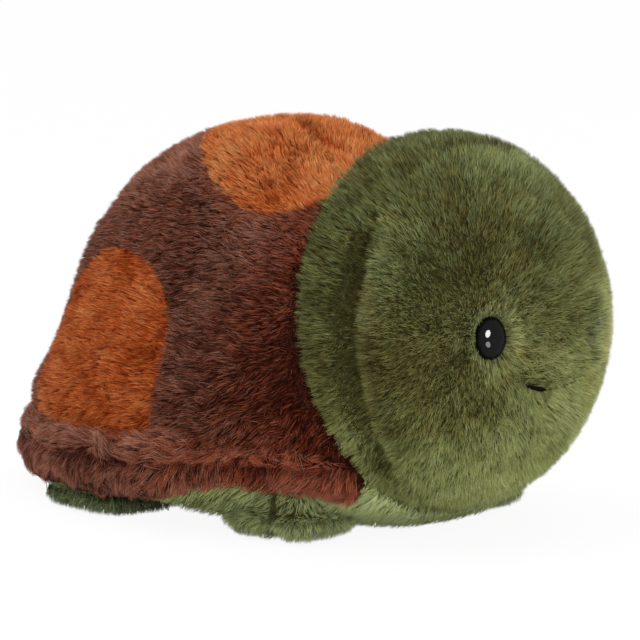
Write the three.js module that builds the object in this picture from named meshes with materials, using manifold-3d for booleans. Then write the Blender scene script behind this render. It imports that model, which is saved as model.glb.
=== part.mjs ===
// A plush turtle: a round stuffed head on a soft neck band, a domed shell with a puffy rim,
// a flat belly and four stub feet. Millimetres. +X is the way the turtle looks, +Y is its left,
// +Z is up, and the origin is on the floor under the middle of the toy.
import * as THREE from 'three';
import { mergeVertices } from 'three/addons/utils/BufferGeometryUtils.js';
import Module from 'manifold-3d';

const wasm = await Module();
wasm.setup();

// Fabric and fits: the plush is drawn with its pile, and sewn edges meet with a small gap
const pileFabric = 5;
const footFabric = 3.5;
const seamGap = 0.3;
const cutOverrun = 20;
const weldTolerance = 1e-4;

// Head
const headDepth = 137;
const headWidth = 156;
const headHeight = 164;
const chinHeight = 9;

// Neck band, from the seam with the shell to the crease beside the face, ahead of the head's centre
const neckBandBack = -5;
const neckBandFront = 20;
const neckLeanDegrees = 9;
const neckOverlap = 22;
const creaseDepth = 4.5;
const creaseWidth = 11;
const creaseFadeShare = 0.3;
const creaseFadeOverShare = 0.5;

// Shell and belly, the shell's centre taken under its highest point
const shellBehindHead = 85;
const shellRearReach = 158;
const shellHalfWidth = 94;
const shellHeight = 175;
const shellWaistHeight = 42;
const shellFrontHalfWidth = 77;
const shellFrontHeight = 160;
const bellyClearance = 5.5;
const rimSeamHeight = 31;
const domeRoundShare = 0.53;
const flankFlatShare = 0.15;
const napeShare = 0.58;
const rearBellyShare = 0.8;
const bellySquareness = 2.5;

// Rim
const rimThickness = 24;
const rimTall = 34;
const rimProud = 7.5;
const rimHeight = 30;
const rimFrontRise = 5;
const rimTipFall = 3;
const rimTipSlimShare = 0.25;
const rimRearFall = 7;

// Spots
const topSpotLength = 142;
const topSpotWidth = 116;
const topSpotBehindHead = 60;
const flankSpotLength = 110;
const flankSpotBehindHead = 139;
const flankSpotShoulder = 68;
const flankSpotTop = 114.5;

// Feet
const footLength = 66;
const footWidth = 52;
const footHeight = 34;
const footSquareness = 2.8;
const soleCut = 0.5;
const frontFootBehindHead = 37.5;
const frontFootAside = 52;
const rearFootBehindHead = 138;
const rearFootAside = 67;
const footSwingDegrees = 12;

// Face: its middle lies a little to the toy's left, the way the stuffed head has turned
const faceAside = 5;

// Eyes, each sunk in a socket where its washer draws the fabric in
const eyeWidth = 14;
const eyeTall = 18;
const eyeDome = 5.5;
const eyeEdge = 1.2;
const eyeAside = 33.6;
const eyeHeight = 92.8;
const eyeSink = 7.5;
const eyeHollowSpread = 3.7;
const eyeHollowDepth = 6;
const socketSpread = 11;
const socketDepth = 10.5;
const eyeStemDiameter = 5;
const eyeStemLength = 13;
const washerDiameter = 17;
const washerThickness = 2;

// Mouth and closing seam
const mouthWidth = 35.6;
const mouthHeight = 69.3;
const mouthRise = 2.5;
const mouthThread = 2;
const closingLength = 50;
const closingThread = 1.2;
const closingBehindHead = 70;
const closingStitches = 8;
const stitchDepth = 1.2;

// Places worked out from the sizes
const rimRearReach = shellRearReach + rimProud;
const overallLength = headDepth / 2 + shellBehindHead + rimRearReach;
const headX = overallLength / 2 - headDepth / 2;
const headZ = chinHeight + headHeight / 2;
const shellX = headX - shellBehindHead;
const closingX = headX - closingBehindHead;
const washerSeat = socketDepth + seamGap - eyeSink;

// How finely the forms are cut into faces
const headRings = 13;
const neckRings = 3;
const headSides = 29;
const bodyRearRings = 10;
const bodyFrontRings = 8;
const bodySides = 34;
const rimFrontStations = 9;
const rimRearStations = 26;
const rimSides = 12;
const footRings = 8;
const footSides = 14;
const spotSegments = 16;
const swingSteps = 3;
const threadSides = 6;
const mouthSteps = 12;
const stitchSteps = 6;
const eyeSegments = 20;
const stemSegments = 14;
const eyeDomeSteps = 5;

// Helpers: closed surfaces, and joins and cuts

/** A closed surface through rings of points, each end drawn to a point. */
function loft(rings, startPoint, endPoint) {
  const sides = rings[0].length;
  const positions = [];
  const indices = [];
  for (const ring of rings) {
    for (const point of ring) {
      positions.push(point.x, point.y, point.z);
    }
  }
  const start = positions.length / 3;
  positions.push(startPoint.x, startPoint.y, startPoint.z);
  const end = start + 1;
  positions.push(endPoint.x, endPoint.y, endPoint.z);
  for (let side = 0; side < sides; side += 1) {
    const next = (side + 1) % sides;
    for (let row = 0; row + 1 < rings.length; row += 1) {
      const here = row * sides;
      const above = here + sides;
      indices.push(here + side, above + side, above + next);
      indices.push(here + side, above + next, here + next);
    }
    const last = (rings.length - 1) * sides;
    indices.push(start, side, next);
    indices.push(end, last + next, last + side);
  }
  const geometry = new THREE.BufferGeometry();
  geometry.setAttribute('position', new THREE.Float32BufferAttribute(positions, 3));
  geometry.setIndex(indices);
  return geometry;
}

/** A closed geometry as a solid, turned so that its faces point out. */
function toSolid(source) {
  const bare = source.clone();
  bare.deleteAttribute('normal');
  bare.deleteAttribute('uv');
  const merged = mergeVertices(bare, weldTolerance);
  const vertProperties = new Float32Array(merged.attributes.position.array);
  const triVerts = new Uint32Array(merged.index.array);
  if (signedVolume(vertProperties, triVerts) < 0) {
    for (let corner = 0; corner < triVerts.length; corner += 3) {
      const second = triVerts[corner + 1];
      triVerts[corner + 1] = triVerts[corner + 2];
      triVerts[corner + 2] = second;
    }
  }
  return new wasm.Manifold(new wasm.Mesh({ numProp: 3, vertProperties, triVerts }));
}

function signedVolume(points, corners) {
  const [a, b, c] = [new THREE.Vector3(), new THREE.Vector3(), new THREE.Vector3()];
  let volume = 0;
  for (let corner = 0; corner < corners.length; corner += 3) {
    a.fromArray(points, corners[corner] * 3);
    b.fromArray(points, corners[corner + 1] * 3);
    c.fromArray(points, corners[corner + 2] * 3);
    volume += a.dot(b.cross(c)) / 6;
  }
  return volume;
}

/** A solid back as a geometry. */
function toGeometry(solid) {
  const mesh = solid.getMesh();
  const geometry = new THREE.BufferGeometry();
  const positions = new Float32Array(mesh.vertProperties);
  geometry.setAttribute('position', new THREE.BufferAttribute(positions, 3));
  geometry.setIndex(new THREE.BufferAttribute(new Uint32Array(mesh.triVerts), 1));
  geometry.computeVertexNormals();
  return geometry;
}

/** A copy of a geometry moved and turned by a matrix, as a solid. */
function placedSolid(geometry, matrix) {
  return toSolid(geometry.clone().applyMatrix4(matrix));
}

const upward = new THREE.Vector3(0, 0, 1);

// Forms: the outlines that several pieces share, each drawn larger or smaller by a margin

/** A ring of points in the plane X = x, its Y and Z given as a function of the turn. */
function ringAcross(x, sides, sideAndHeight) {
  const ring = [];
  for (let side = 0; side < sides; side += 1) {
    const [y, z] = sideAndHeight((2 * Math.PI * side) / sides);
    ring.push(new THREE.Vector3(x, y, z));
  }
  return ring;
}

/** A smooth step from 0 to 1. */
function eased(share) {
  const held = Math.min(1, Math.max(0, share));
  return held * held * (3 - 2 * held);
}

/** A hollow drawn in round a seam: 1 on the seam, falling to 0 at a width to either side. */
function seamHollow(distance, width) {
  return Math.max(0, 1 - (distance / width) ** 2) ** 2;
}

/**
 * The head and neck: an ellipsoid about the head's centre, its pole at the face, with the crease
 * beside the face drawn in. It ends behind the neck seam. The crease is deep low down and at the
 * sides, and fades out over the crown.
 */
function headForm(margin) {
  const back = neckBandBack - neckOverlap;
  const rings = [];
  for (let row = 1; row <= headRings; row += 1) {
    const along = (headDepth / 2) * Math.cos((Math.PI / 2) * Math.sqrt(row / headRings));
    rings.push(headRing(along, margin));
  }
  for (let row = 1; row <= neckRings; row += 1) {
    rings.push(headRing((back * row) / neckRings, margin));
  }
  const face = new THREE.Vector3(headX + headDepth / 2 + margin, 0, headZ);
  const end = new THREE.Vector3(headX + back, 0, headZ);
  return loft(rings, face, end);
}

/** One ring of the head at a distance ahead of its centre. */
function headRing(along, margin) {
  const round = Math.sqrt(1 - (along / (headDepth / 2)) ** 2);
  const forward = headX + (along * (headDepth / 2 + margin)) / (headDepth / 2);
  return ringAcross(forward, headSides, (turn) => {
    const side = Math.cos(turn);
    const height = Math.sin(turn);
    const crownFade = 1 - eased((height - creaseFadeShare) / creaseFadeOverShare);
    const drawn = creaseDepth * seamHollow(along - neckBandFront, creaseWidth) * crownFade;
    const wide = (headWidth / 2) * round + margin * round - drawn;
    const tall = (headHeight / 2) * round + margin * round - drawn;
    return [wide * side, headZ + tall * height];
  });
}

/** How far a dome at a share of its height is drawn in: an ellipse with a flattened flank. */
function domeShare(heightShare) {
  return (1 - heightShare ** 2) ** domeRoundShare * flankShare(heightShare, 1);
}

function flankShare(heightShare, fade) {
  return 1 - fade * flankFlatShare * Math.sin(Math.PI * heightShare) ** 2;
}

/** A ring of the body: an upper arch from the waist to the crown, and a flatter belly below. */
function bodyRing(along, halfWidth, waist, rise, drop, fade) {
  const squareShare = 2 / bellySquareness;
  return ringAcross(shellX + along, bodySides, (turn) => {
    const side = Math.cos(turn);
    const height = Math.sin(turn);
    if (height >= 0) {
      return [halfWidth * side * flankShare(height, fade), waist + rise * height];
    }
    const squared = Math.sign(side) * Math.abs(side) ** squareShare;
    return [halfWidth * squared, waist - drop * Math.abs(height) ** squareShare];
  });
}

/** The whole body, shell and belly in one: a dome behind, and the neck's own section in front. */
function bodyForm(margin) {
  const rings = [];
  for (let row = 1; row <= bodyRearRings; row += 1) {
    const heightShare = Math.sin((Math.PI / 2) * (row / bodyRearRings));
    const reachShare = domeShare(heightShare);
    const along = -(shellRearReach + margin) * reachShare;
    const width = (shellHalfWidth + margin) * Math.sqrt(1 - reachShare ** 2);
    const rise = (shellHeight - shellWaistHeight + margin) * heightShare;
    const drop = (shellWaistHeight - bellyClearance + margin) * heightShare ** rearBellyShare;
    rings.push(bodyRing(along, width, shellWaistHeight, rise, drop, 1));
  }
  const frontStep = shellBehindHead + neckBandBack;
  const frontEnd = frontStep + neckOverlap;
  for (let row = 1; row <= bodyFrontRings; row += 1) {
    const along = (frontEnd * row) / bodyFrontRings;
    const share = along / frontStep;
    const narrowing = (shellHalfWidth - shellFrontHalfWidth) * share ** 2;
    const waist = shellWaistHeight + (headZ - shellWaistHeight) * eased(share);
    const crown = shellHeight - (shellHeight - shellFrontHeight) * eased(share / napeShare);
    const fade = Math.max(0, 1 - share);
    const width = shellHalfWidth - narrowing + margin;
    rings.push(bodyRing(along, width, waist, crown - waist + margin,
      waist - bellyClearance + margin, fade));
  }
  const rear = new THREE.Vector3(shellX - shellRearReach - margin, 0, shellWaistHeight);
  const front = new THREE.Vector3(shellX + frontEnd, 0, headZ);
  return loft(rings, rear, front);
}

/** How far the body reaches to a side at a distance ahead of the shell's centre and a height. */
function bodySide(along, z) {
  const share = Math.max(0, along) / (shellBehindHead + neckBandBack);
  const waist = shellWaistHeight + (headZ - shellWaistHeight) * eased(share);
  const below = Math.min(1, Math.max(0, waist - z) / (waist - bellyClearance));
  const width = shellHalfWidth - (shellHalfWidth - shellFrontHalfWidth) * share ** 2;
  return width * (1 - below ** bellySquareness) ** (1 / bellySquareness);
}

/** The line the rim follows round the shell: from past the neck's seam, round the rear, and back. */
function rimPath() {
  const points = [];
  const inset = rimProud - rimThickness / 2;
  const frontReach = shellBehindHead + neckBandBack + neckOverlap;
  for (let station = rimFrontStations; station > 0; station -= 1) {
    const share = station / rimFrontStations;
    const along = frontReach * share;
    const z = rimHeight + rimFrontRise * Math.sin(Math.PI * share) - rimTipFall * share ** 2;
    points.push(new THREE.Vector3(shellX + along, -bodySide(along, z) - inset, z));
  }
  for (let station = 0; station <= rimRearStations; station += 1) {
    const bearing = (Math.PI * station) / rimRearStations;
    const back = Math.sin(bearing);
    points.push(new THREE.Vector3(
      shellX - (shellRearReach + inset) * back,
      -(bodySide(0, rimHeight) + inset) * Math.cos(bearing),
      rimHeight - rimRearFall * back,
    ));
  }
  for (let station = rimFrontStations - 1; station >= 0; station -= 1) {
    points.push(points[station].clone().multiply(new THREE.Vector3(1, -1, 1)));
  }
  return points;
}

/** The rim's roll: an oval section carried along its path, slimmer towards the neck. */
function rimForm(margin) {
  const path = rimPath();
  const rings = path.map((centre, station) => {
    const before = path[Math.max(0, station - 1)];
    const after = path[Math.min(path.length - 1, station + 1)];
    const outward = after.clone().sub(before).cross(upward).normalize();
    const fromEnd = Math.min(station, path.length - 1 - station) / rimFrontStations;
    const fullness = 1 - rimTipSlimShare * (1 - eased(fromEnd));
    return ringAbout(centre, outward, upward, (rimThickness / 2) * fullness + margin,
      (rimTall / 2) * fullness + margin, rimSides);
  });
  return loft(rings, middleOf(rings[0]), middleOf(rings[rings.length - 1]));
}

/** An oval ring about a centre, in the plane of two directions. */
function ringAbout(centre, first, second, firstRadius, secondRadius, sides) {
  const ring = [];
  for (let side = 0; side < sides; side += 1) {
    const turn = (2 * Math.PI * side) / sides;
    ring.push(centre.clone()
      .addScaledVector(first, firstRadius * Math.cos(turn))
      .addScaledVector(second, secondRadius * Math.sin(turn)));
  }
  return ring;
}

function middleOf(ring) {
  const middle = new THREE.Vector3();
  ring.forEach((point) => middle.add(point));
  return middle.divideScalar(ring.length);
}

/** A foot: a rounded block, a little longer than wide, its sole just below the floor line. */
function footForm(foot, margin) {
  const rings = [];
  const squareShare = 2 / footSquareness;
  const middle = footHeight / 2 - soleCut;
  for (let row = 1; row < footRings; row += 1) {
    const rise = -Math.PI / 2 + (Math.PI * row) / footRings;
    const round = Math.cos(rise) ** squareShare;
    const height = Math.sign(rise) * Math.abs(Math.sin(rise)) ** squareShare;
    const ring = [];
    for (let side = 0; side < footSides; side += 1) {
      const turn = (2 * Math.PI * side) / footSides;
      const along = Math.sign(Math.cos(turn)) * Math.abs(Math.cos(turn)) ** squareShare;
      const aside = Math.sign(Math.sin(turn)) * Math.abs(Math.sin(turn)) ** squareShare;
      ring.push(new THREE.Vector3(
        foot.x + (footLength / 2 + margin) * round * along,
        foot.y + (footWidth / 2 + margin) * round * aside,
        middle + (footHeight / 2 + margin) * height,
      ));
    }
    rings.push(ring);
  }
  const sole = new THREE.Vector3(foot.x, foot.y, middle - footHeight / 2 - margin);
  const top = new THREE.Vector3(foot.x, foot.y, middle + footHeight / 2 + margin);
  return loft(rings, sole, top);
}

/** A thread of round section along points, tapered at both ends. */
function threadForm(points, radius) {
  const rings = points.map((point, index) => {
    const before = points[Math.max(0, index - 1)];
    const after = points[Math.min(points.length - 1, index + 1)];
    const along = after.clone().sub(before).normalize();
    const first = new THREE.Vector3().crossVectors(upward, along).normalize();
    const second = new THREE.Vector3().crossVectors(along, first);
    return ringAbout(point, first, second, radius, radius, threadSides);
  });
  return loft(rings, points[0], points[points.length - 1]);
}

// Cutting tools: large boxes on either side of a plane, and the spots' outlines

/** All that lies ahead of (+1) or behind (-1) a plane across the toy, leaning back by an angle. */
function besidePlane(x, leanDegrees, direction, gap) {
  const far = 2 * overallLength;
  const box = new THREE.BoxGeometry(far, far, far);
  box.translate(direction * (far / 2 + gap), 0, 0);
  box.rotateY(THREE.MathUtils.degToRad(-leanDegrees));
  box.translate(x, 0, headZ);
  return toSolid(box);
}

const aheadOfNeck = (gap) => besidePlane(headX + neckBandBack, neckLeanDegrees, 1, gap);
const behindNeck = (gap) => besidePlane(headX + neckBandBack, neckLeanDegrees, -1, gap);
const aheadOfCrease = (gap) => besidePlane(headX + neckBandFront, 0, 1, gap);
const behindCrease = (gap) => besidePlane(headX + neckBandFront, 0, -1, gap);

/** All that lies above (+1) or below (-1) a height. */
function besideHeight(z, direction) {
  const far = 2 * overallLength;
  const box = new THREE.BoxGeometry(far, far, far);
  box.translate(0, 0, z + (direction * far) / 2);
  return toSolid(box);
}

/** An upright prism over the oval top spot. */
function topSpotTool(margin) {
  const outline = new THREE.Shape();
  const [x, long, wide] = [headX - topSpotBehindHead, topSpotLength / 2, topSpotWidth / 2];
  outline.absellipse(x, 0, long + margin, wide + margin, 0, 2 * Math.PI, false, 0);
  const prism = new THREE.ExtrudeGeometry(outline, {
    depth: shellHeight, bevelEnabled: false, curveSegments: spotSegments,
  });
  prism.translate(0, 0, shellWaistHeight);
  return toSolid(prism);
}

/** A prism from the toy's middle out through one flank, over the arch of the flank spot. */
function flankSpotTool(side, margin) {
  const half = flankSpotLength / 2 + margin;
  const x = headX - flankSpotBehindHead;
  const outline = new THREE.Shape();
  outline.moveTo(x - half, -cutOverrun);
  outline.lineTo(x + half, -cutOverrun);
  outline.lineTo(x + half, flankSpotShoulder);
  outline.absellipse(x, flankSpotShoulder, half, flankSpotTop - flankSpotShoulder + margin,
    0, Math.PI, false, 0);
  const prism = new THREE.ExtrudeGeometry(outline, {
    depth: shellHalfWidth + cutOverrun, bevelEnabled: false, curveSegments: spotSegments,
  });
  prism.rotateX(Math.PI / 2);
  if (side > 0) {
    prism.rotateZ(Math.PI);
    prism.translate(2 * x, 0, 0);
  }
  return toSolid(prism);
}

// Eyes: each has a frame of its own on the head, X across, Y up, and Z out of the fabric

/** Where an eye's fabric seat is, and which way it looks. */
function eyeFrame(side) {
  const y = faceAside + side * eyeAside;
  const z = eyeHeight - headZ;
  const shrink = (y / (headWidth / 2)) ** 2 + (z / (headHeight / 2)) ** 2;
  const x = (headDepth / 2) * Math.sqrt(1 - shrink);
  const out = new THREE.Vector3(
    x / (headDepth / 2) ** 2, y / (headWidth / 2) ** 2, z / (headHeight / 2) ** 2,
  ).normalize();
  const acrossEye = new THREE.Vector3().crossVectors(upward, out).normalize();
  const upEye = new THREE.Vector3().crossVectors(out, acrossEye);
  const seat = new THREE.Vector3(headX + x, y, headZ + z).addScaledVector(out, -eyeSink);
  return new THREE.Matrix4().makeBasis(acrossEye, upEye, out).setPosition(seat);
}

/** A turned shape about the eye's Z axis, from its profile of radius and height. */
function turned(profile, segments) {
  const points = profile.map(([radius, height]) => new THREE.Vector2(radius, height));
  return new THREE.LatheGeometry(points, segments).rotateX(Math.PI / 2);
}

/** An eye: an oval domed button on a round stem that goes through the fabric. */
function eyeForm(margin) {
  const dome = [[0, -margin]];
  const radius = eyeTall / 2 + margin;
  dome.push([radius, -margin]);
  for (let step = 0; step <= eyeDomeSteps; step += 1) {
    const climb = (Math.PI / 2) * (step / eyeDomeSteps);
    dome.push([radius * Math.cos(climb), eyeEdge + (eyeDome - eyeEdge + margin) * Math.sin(climb)]);
  }
  dome[dome.length - 1][0] = 0;
  const button = turned(dome, eyeSegments);
  button.scale((eyeWidth / 2 + margin) / radius, 1, 1);
  const stemRadius = eyeStemDiameter / 2 + margin;
  const stem = turned([
    [0, -eyeStemLength - margin], [stemRadius, -eyeStemLength - margin],
    [stemRadius, eyeEdge], [0, eyeEdge],
  ], stemSegments);
  return toSolid(button).add(toSolid(stem));
}

/** A locking washer pushed onto the eye's stem from inside the head. */
function washerForm(margin) {
  const front = -washerSeat + margin;
  const back = -washerSeat - washerThickness - margin;
  const bore = eyeStemDiameter / 2 + seamGap - margin;
  const outer = washerDiameter / 2 + margin;
  return toSolid(turned([[bore, back], [outer, back], [outer, front], [bore, front],
    [bore, back]], stemSegments));
}

/** An oval bowl round an eye, its middle on the fur, wider than the eye by a spread. */
function bowlForm(spread, depth) {
  const bowl = new THREE.SphereGeometry(1, stemSegments, eyeDomeSteps * 2);
  bowl.scale(eyeWidth / 2 + spread, eyeTall / 2 + spread, depth);
  bowl.translate(0, 0, eyeSink);
  return bowl;
}

// Threads

/** A point on the head's fur at a side and height, sunk by a depth. */
function onHead(y, z, depth) {
  const shrink = (y / (headWidth / 2)) ** 2 + ((z - headZ) / (headHeight / 2)) ** 2;
  return new THREE.Vector3(headX + (headDepth / 2) * Math.sqrt(1 - shrink) - depth, y, z);
}

/** The mouth: one shallow smile of thick thread laid across the fur. */
function mouthPath(extra) {
  const points = [];
  for (let step = 0; step <= mouthSteps; step += 1) {
    const share = (2 * step) / mouthSteps - 1;
    const y = faceAside + share * (mouthWidth / 2 + extra);
    points.push(onHead(y, mouthHeight + mouthRise * share * share, mouthThread / 4));
  }
  return points;
}

/** The hand-sewn thread that closes the belly, weaving up and down in the slit. */
function closingPath() {
  const points = [];
  const steps = closingStitches * stitchSteps;
  for (let step = 0; step <= steps; step += 1) {
    const x = closingX + closingLength * (step / steps - 0.5);
    const weave = Math.sin((2 * Math.PI * step) / stitchSteps);
    points.push(new THREE.Vector3(x, 0, bellyClearance + pileFabric / 2 + stitchDepth * weave));
  }
  return points;
}

/** The slit left open in the belly for the stuffing, with its two long edges drawn together. */
function closingSlitTool() {
  const slit = new THREE.BoxGeometry(
    closingLength + 2 * closingThread, closingThread + 2 * seamGap, 2 * pileFabric + cutOverrun,
  );
  slit.translate(closingX, 0, bellyClearance);
  return toSolid(slit);
}

// The pieces

const group = new THREE.Group();
group.name = 'plush_turtle';

const plushGreen = { color: 0x56703a, roughness: 1, metalness: 0 };
const plushBrown = { color: 0x5b2c1e, roughness: 1, metalness: 0 };
const plushOrange = { color: 0xa84a14, roughness: 1, metalness: 0 };
const whiteFibre = { color: 0xf1eee6, roughness: 1, metalness: 0 };
const glossBlack = { color: 0x08080a, roughness: 0.08, metalness: 0 };
const plainPlastic = { color: 0xdedbd2, roughness: 0.45, metalness: 0 };
const blackThread = { color: 0x111014, roughness: 0.7, metalness: 0 };
const greenThread = { color: 0x4a5c33, roughness: 0.7, metalness: 0 };

function addMesh(name, geometry, finish) {
  const mesh = new THREE.Mesh(geometry, new THREE.MeshStandardMaterial(finish));
  mesh.name = name;
  group.add(mesh);
  return mesh;
}

function addSolid(name, solid, finish) {
  return addMesh(name, toGeometry(solid), finish);
}

const half = seamGap / 2;
const outerHead = toSolid(headForm(0));
const innerHead = toSolid(headForm(-pileFabric));
const fillHead = toSolid(headForm(-pileFabric - seamGap));
const outerBody = toSolid(bodyForm(0));
const innerBody = toSolid(bodyForm(-pileFabric));
const fillBody = toSolid(bodyForm(-pileFabric - seamGap));

function addHead() {
  let inside = innerHead;
  let hollows = toSolid(threadForm(mouthPath(seamGap), mouthThread / 2 + seamGap));
  let filling = fillHead.intersect(aheadOfCrease(half));
  for (const side of [-1, 1]) {
    const sideName = side < 0 ? 'right' : 'left';
    const frame = eyeFrame(side);
    const eye = eyeForm(0);
    const room = eyeForm(seamGap).transform(frame.elements);
    const washerRoom = washerForm(seamGap).transform(frame.elements);
    inside = inside.subtract(placedSolid(bowlForm(socketSpread, socketDepth), frame));
    hollows = hollows.add(placedSolid(bowlForm(eyeHollowSpread, eyeHollowDepth), frame)).add(room);
    filling = filling.subtract(placedSolid(bowlForm(socketSpread + seamGap, socketDepth + seamGap), frame))
      .subtract(room).subtract(washerRoom);
    addSolid(`eye_${sideName}`, eye, glossBlack).applyMatrix4(frame);
    addSolid(`eye_washer_${sideName}`, washerForm(0), plainPlastic).applyMatrix4(frame);
  }
  const cover = outerHead.subtract(inside).subtract(hollows).intersect(aheadOfCrease(half));
  addSolid('head_cover', cover, plushGreen);
  addSolid('head_stuffing', filling, whiteFibre);
  addSolid('mouth_stitch', toSolid(threadForm(mouthPath(0), mouthThread / 2)), blackThread);
}

function addNeckBand() {
  const band = outerHead.subtract(innerHead).intersect(behindCrease(half));
  addSolid('neck_band', band.intersect(aheadOfNeck(half)), plushGreen);
}

function addShell() {
  const skin = outerBody.subtract(innerBody).intersect(behindNeck(half));
  const upper = skin.intersect(besideHeight(rimSeamHeight + half, 1));
  let brown = upper.subtract(topSpotTool(half));
  addSolid('spot_top', upper.intersect(topSpotTool(-half)), plushOrange);
  for (const side of [-1, 1]) {
    brown = brown.subtract(flankSpotTool(side, half));
    const spot = upper.intersect(flankSpotTool(side, -half));
    addSolid(side < 0 ? 'spot_right' : 'spot_left', spot, plushOrange);
  }
  addSolid('shell_cover', brown, plushBrown);
  const belly = skin.intersect(besideHeight(rimSeamHeight - half, -1));
  addSolid('belly_panel', belly.subtract(closingSlitTool()), plushGreen);
  addSolid('closing_thread', toSolid(threadForm(closingPath(), closingThread / 2)), greenThread);
}

function addBodyStuffing() {
  const trunk = fillBody.intersect(behindNeck(half));
  const throat = fillHead.intersect(aheadOfNeck(half)).intersect(behindCrease(half));
  const bridge = fillBody.intersect(fillHead).intersect(aheadOfNeck(-pileFabric))
    .intersect(behindCrease(half));
  addSolid('body_stuffing', trunk.add(throat).add(bridge), whiteFibre);
}

function addRim() {
  const clear = toSolid(bodyForm(seamGap)).intersect(behindNeck(-seamGap));
  const headClear = toSolid(headForm(seamGap)).intersect(aheadOfNeck(-seamGap));
  const roll = toSolid(rimForm(0)).intersect(behindNeck(half));
  addSolid('shell_rim', roll.subtract(clear).subtract(headClear), plushBrown);
}

/** What a solid sweeps over when it turns each way by the foot's swing about the foot's own axis. */
function sweptAbout(solid, foot) {
  let whole = solid;
  for (let step = 1; step <= swingSteps; step += 1) {
    for (const way of [-1, 1]) {
      const angle = THREE.MathUtils.degToRad((way * footSwingDegrees * step) / swingSteps);
      const turn = new THREE.Matrix4().makeTranslation(foot.x, foot.y, 0)
        .multiply(new THREE.Matrix4().makeRotationAxis(upward, angle))
        .multiply(new THREE.Matrix4().makeTranslation(-foot.x, -foot.y, 0));
      whole = whole.add(solid.transform(turn.elements));
    }
  }
  return whole;
}

function addFoot(name, foot) {
  const trunk = toSolid(bodyForm(seamGap)).intersect(behindNeck(-seamGap));
  const neck = toSolid(headForm(seamGap)).intersect(aheadOfNeck(-seamGap));
  const roll = toSolid(rimForm(seamGap)).intersect(behindNeck(-seamGap));
  const keepOff = sweptAbout(trunk.add(neck).add(roll), foot);
  const floor = besideHeight(0, 1);
  const outer = toSolid(footForm(foot, 0)).intersect(floor);
  const inner = toSolid(footForm(foot, -footFabric)).intersect(besideHeight(footFabric, 1));
  const fill = toSolid(footForm(foot, -footFabric - seamGap))
    .intersect(besideHeight(footFabric + seamGap, 1));
  addSolid(`${name}_cover`, outer.subtract(inner).subtract(keepOff), plushGreen);
  addSolid(`${name}_stuffing`, fill.subtract(keepOff), whiteFibre);
}

addHead();
addNeckBand();
addShell();
addBodyStuffing();
addRim();
for (const side of [-1, 1]) {
  const sideName = side < 0 ? 'right' : 'left';
  addFoot(`foot_front_${sideName}`, {
    x: headX - frontFootBehindHead, y: side * frontFootAside,
  });
  addFoot(`foot_rear_${sideName}`, {
    x: headX - rearFootBehindHead, y: side * rearFootAside,
  });
}

export default group;
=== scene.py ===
"""The looks of a plush turtle: sewn skins, their pile of fine strands, eyes, threads and fillings.

Every shape is a formula over two parameters, worked out as whole arrays. Lengths are in metres.
+X is the way the turtle looks, +Y its left, +Z up, with the floor at Z = 0.
"""

from collections import namedtuple

import bmesh
import bpy
import numpy as np
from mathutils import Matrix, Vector


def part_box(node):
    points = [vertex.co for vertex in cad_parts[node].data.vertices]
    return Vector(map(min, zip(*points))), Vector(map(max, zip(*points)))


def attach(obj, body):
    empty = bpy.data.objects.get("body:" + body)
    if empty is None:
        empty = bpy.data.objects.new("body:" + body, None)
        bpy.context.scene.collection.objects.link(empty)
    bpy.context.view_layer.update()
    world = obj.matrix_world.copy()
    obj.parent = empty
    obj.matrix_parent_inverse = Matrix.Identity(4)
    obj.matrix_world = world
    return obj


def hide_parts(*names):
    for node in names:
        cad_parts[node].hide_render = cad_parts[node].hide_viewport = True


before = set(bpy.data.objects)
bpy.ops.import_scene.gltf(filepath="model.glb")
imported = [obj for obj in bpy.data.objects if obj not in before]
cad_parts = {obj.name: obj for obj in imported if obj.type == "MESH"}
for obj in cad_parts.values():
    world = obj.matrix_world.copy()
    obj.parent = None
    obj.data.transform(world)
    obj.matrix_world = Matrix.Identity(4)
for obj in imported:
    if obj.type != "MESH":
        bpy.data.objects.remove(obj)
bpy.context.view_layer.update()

# Head and neck. A pair such as LOW_SEAM_BELOW is where a change starts, and its length from there

HEAD_DEPTH = 0.137
HEAD_WIDTH = 0.156
HEAD_HEIGHT = 0.164
CHIN_HEIGHT = 0.009
NECK_BACK = -0.005
NECK_FRONT = 0.020
NECK_LEAN = np.radians(9)
NECK_OVERLAP = 0.022
LOW_SEAM_SHIFT = 0.0035
LOW_SEAM_BELOW = (0.02, 0.04)
CREASE_DEPTH = 0.0055
CREASE_WIDTH = 0.0085
CREASE_TOP_SHARES = (0.3, 0.5)
CREASE_LOW_SHARES = (0.6, 0.3)

# Body

SHELL_BEHIND_HEAD = 0.085
SHELL_REAR_REACH = 0.158
SHELL_HALF_WIDTH = 0.094
SHELL_HEIGHT = 0.175
WAIST_HEIGHT = 0.042
SHELL_FRONT_HALF_WIDTH = 0.077
SHELL_FRONT_HEIGHT = 0.160
BELLY_CLEARANCE = 0.0055
DOME_ROUND_SHARE = 0.53
FLANK_FLAT_SHARE = 0.15
NAPE_SHARE = 0.58
REAR_BELLY_SHARE = 0.8
BELLY_SQUARENESS = 2.5
BELLY_BULGE = 1.1
BELLY_SAG_PLACES = (-0.111, -0.071, -0.031, -0.008, 0.007)
BELLY_SAGS = (0.001, 0.0038, 0.0048, 0.0030, 0)
BELLY_SAG_BELOW_SEAM = (0.004, 0.014)
SPINE = {"aside": -0.010, "width": 0.0030, "depth": 0.0030, "back": -0.094, "front": -0.046, "fade": 0.012}
CROWN_ABOVE = 0.1
TOP_SPOT = {"behind_head": 0.060, "half_length": 0.071, "half_width": 0.058}
FLANK_SPOT = {"behind_head": 0.139, "half_length": 0.055, "shoulder": 0.068, "top": 0.1145}
TUCK = 0.008
REAR_PART_SHARE = 0.6

# Rim

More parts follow.
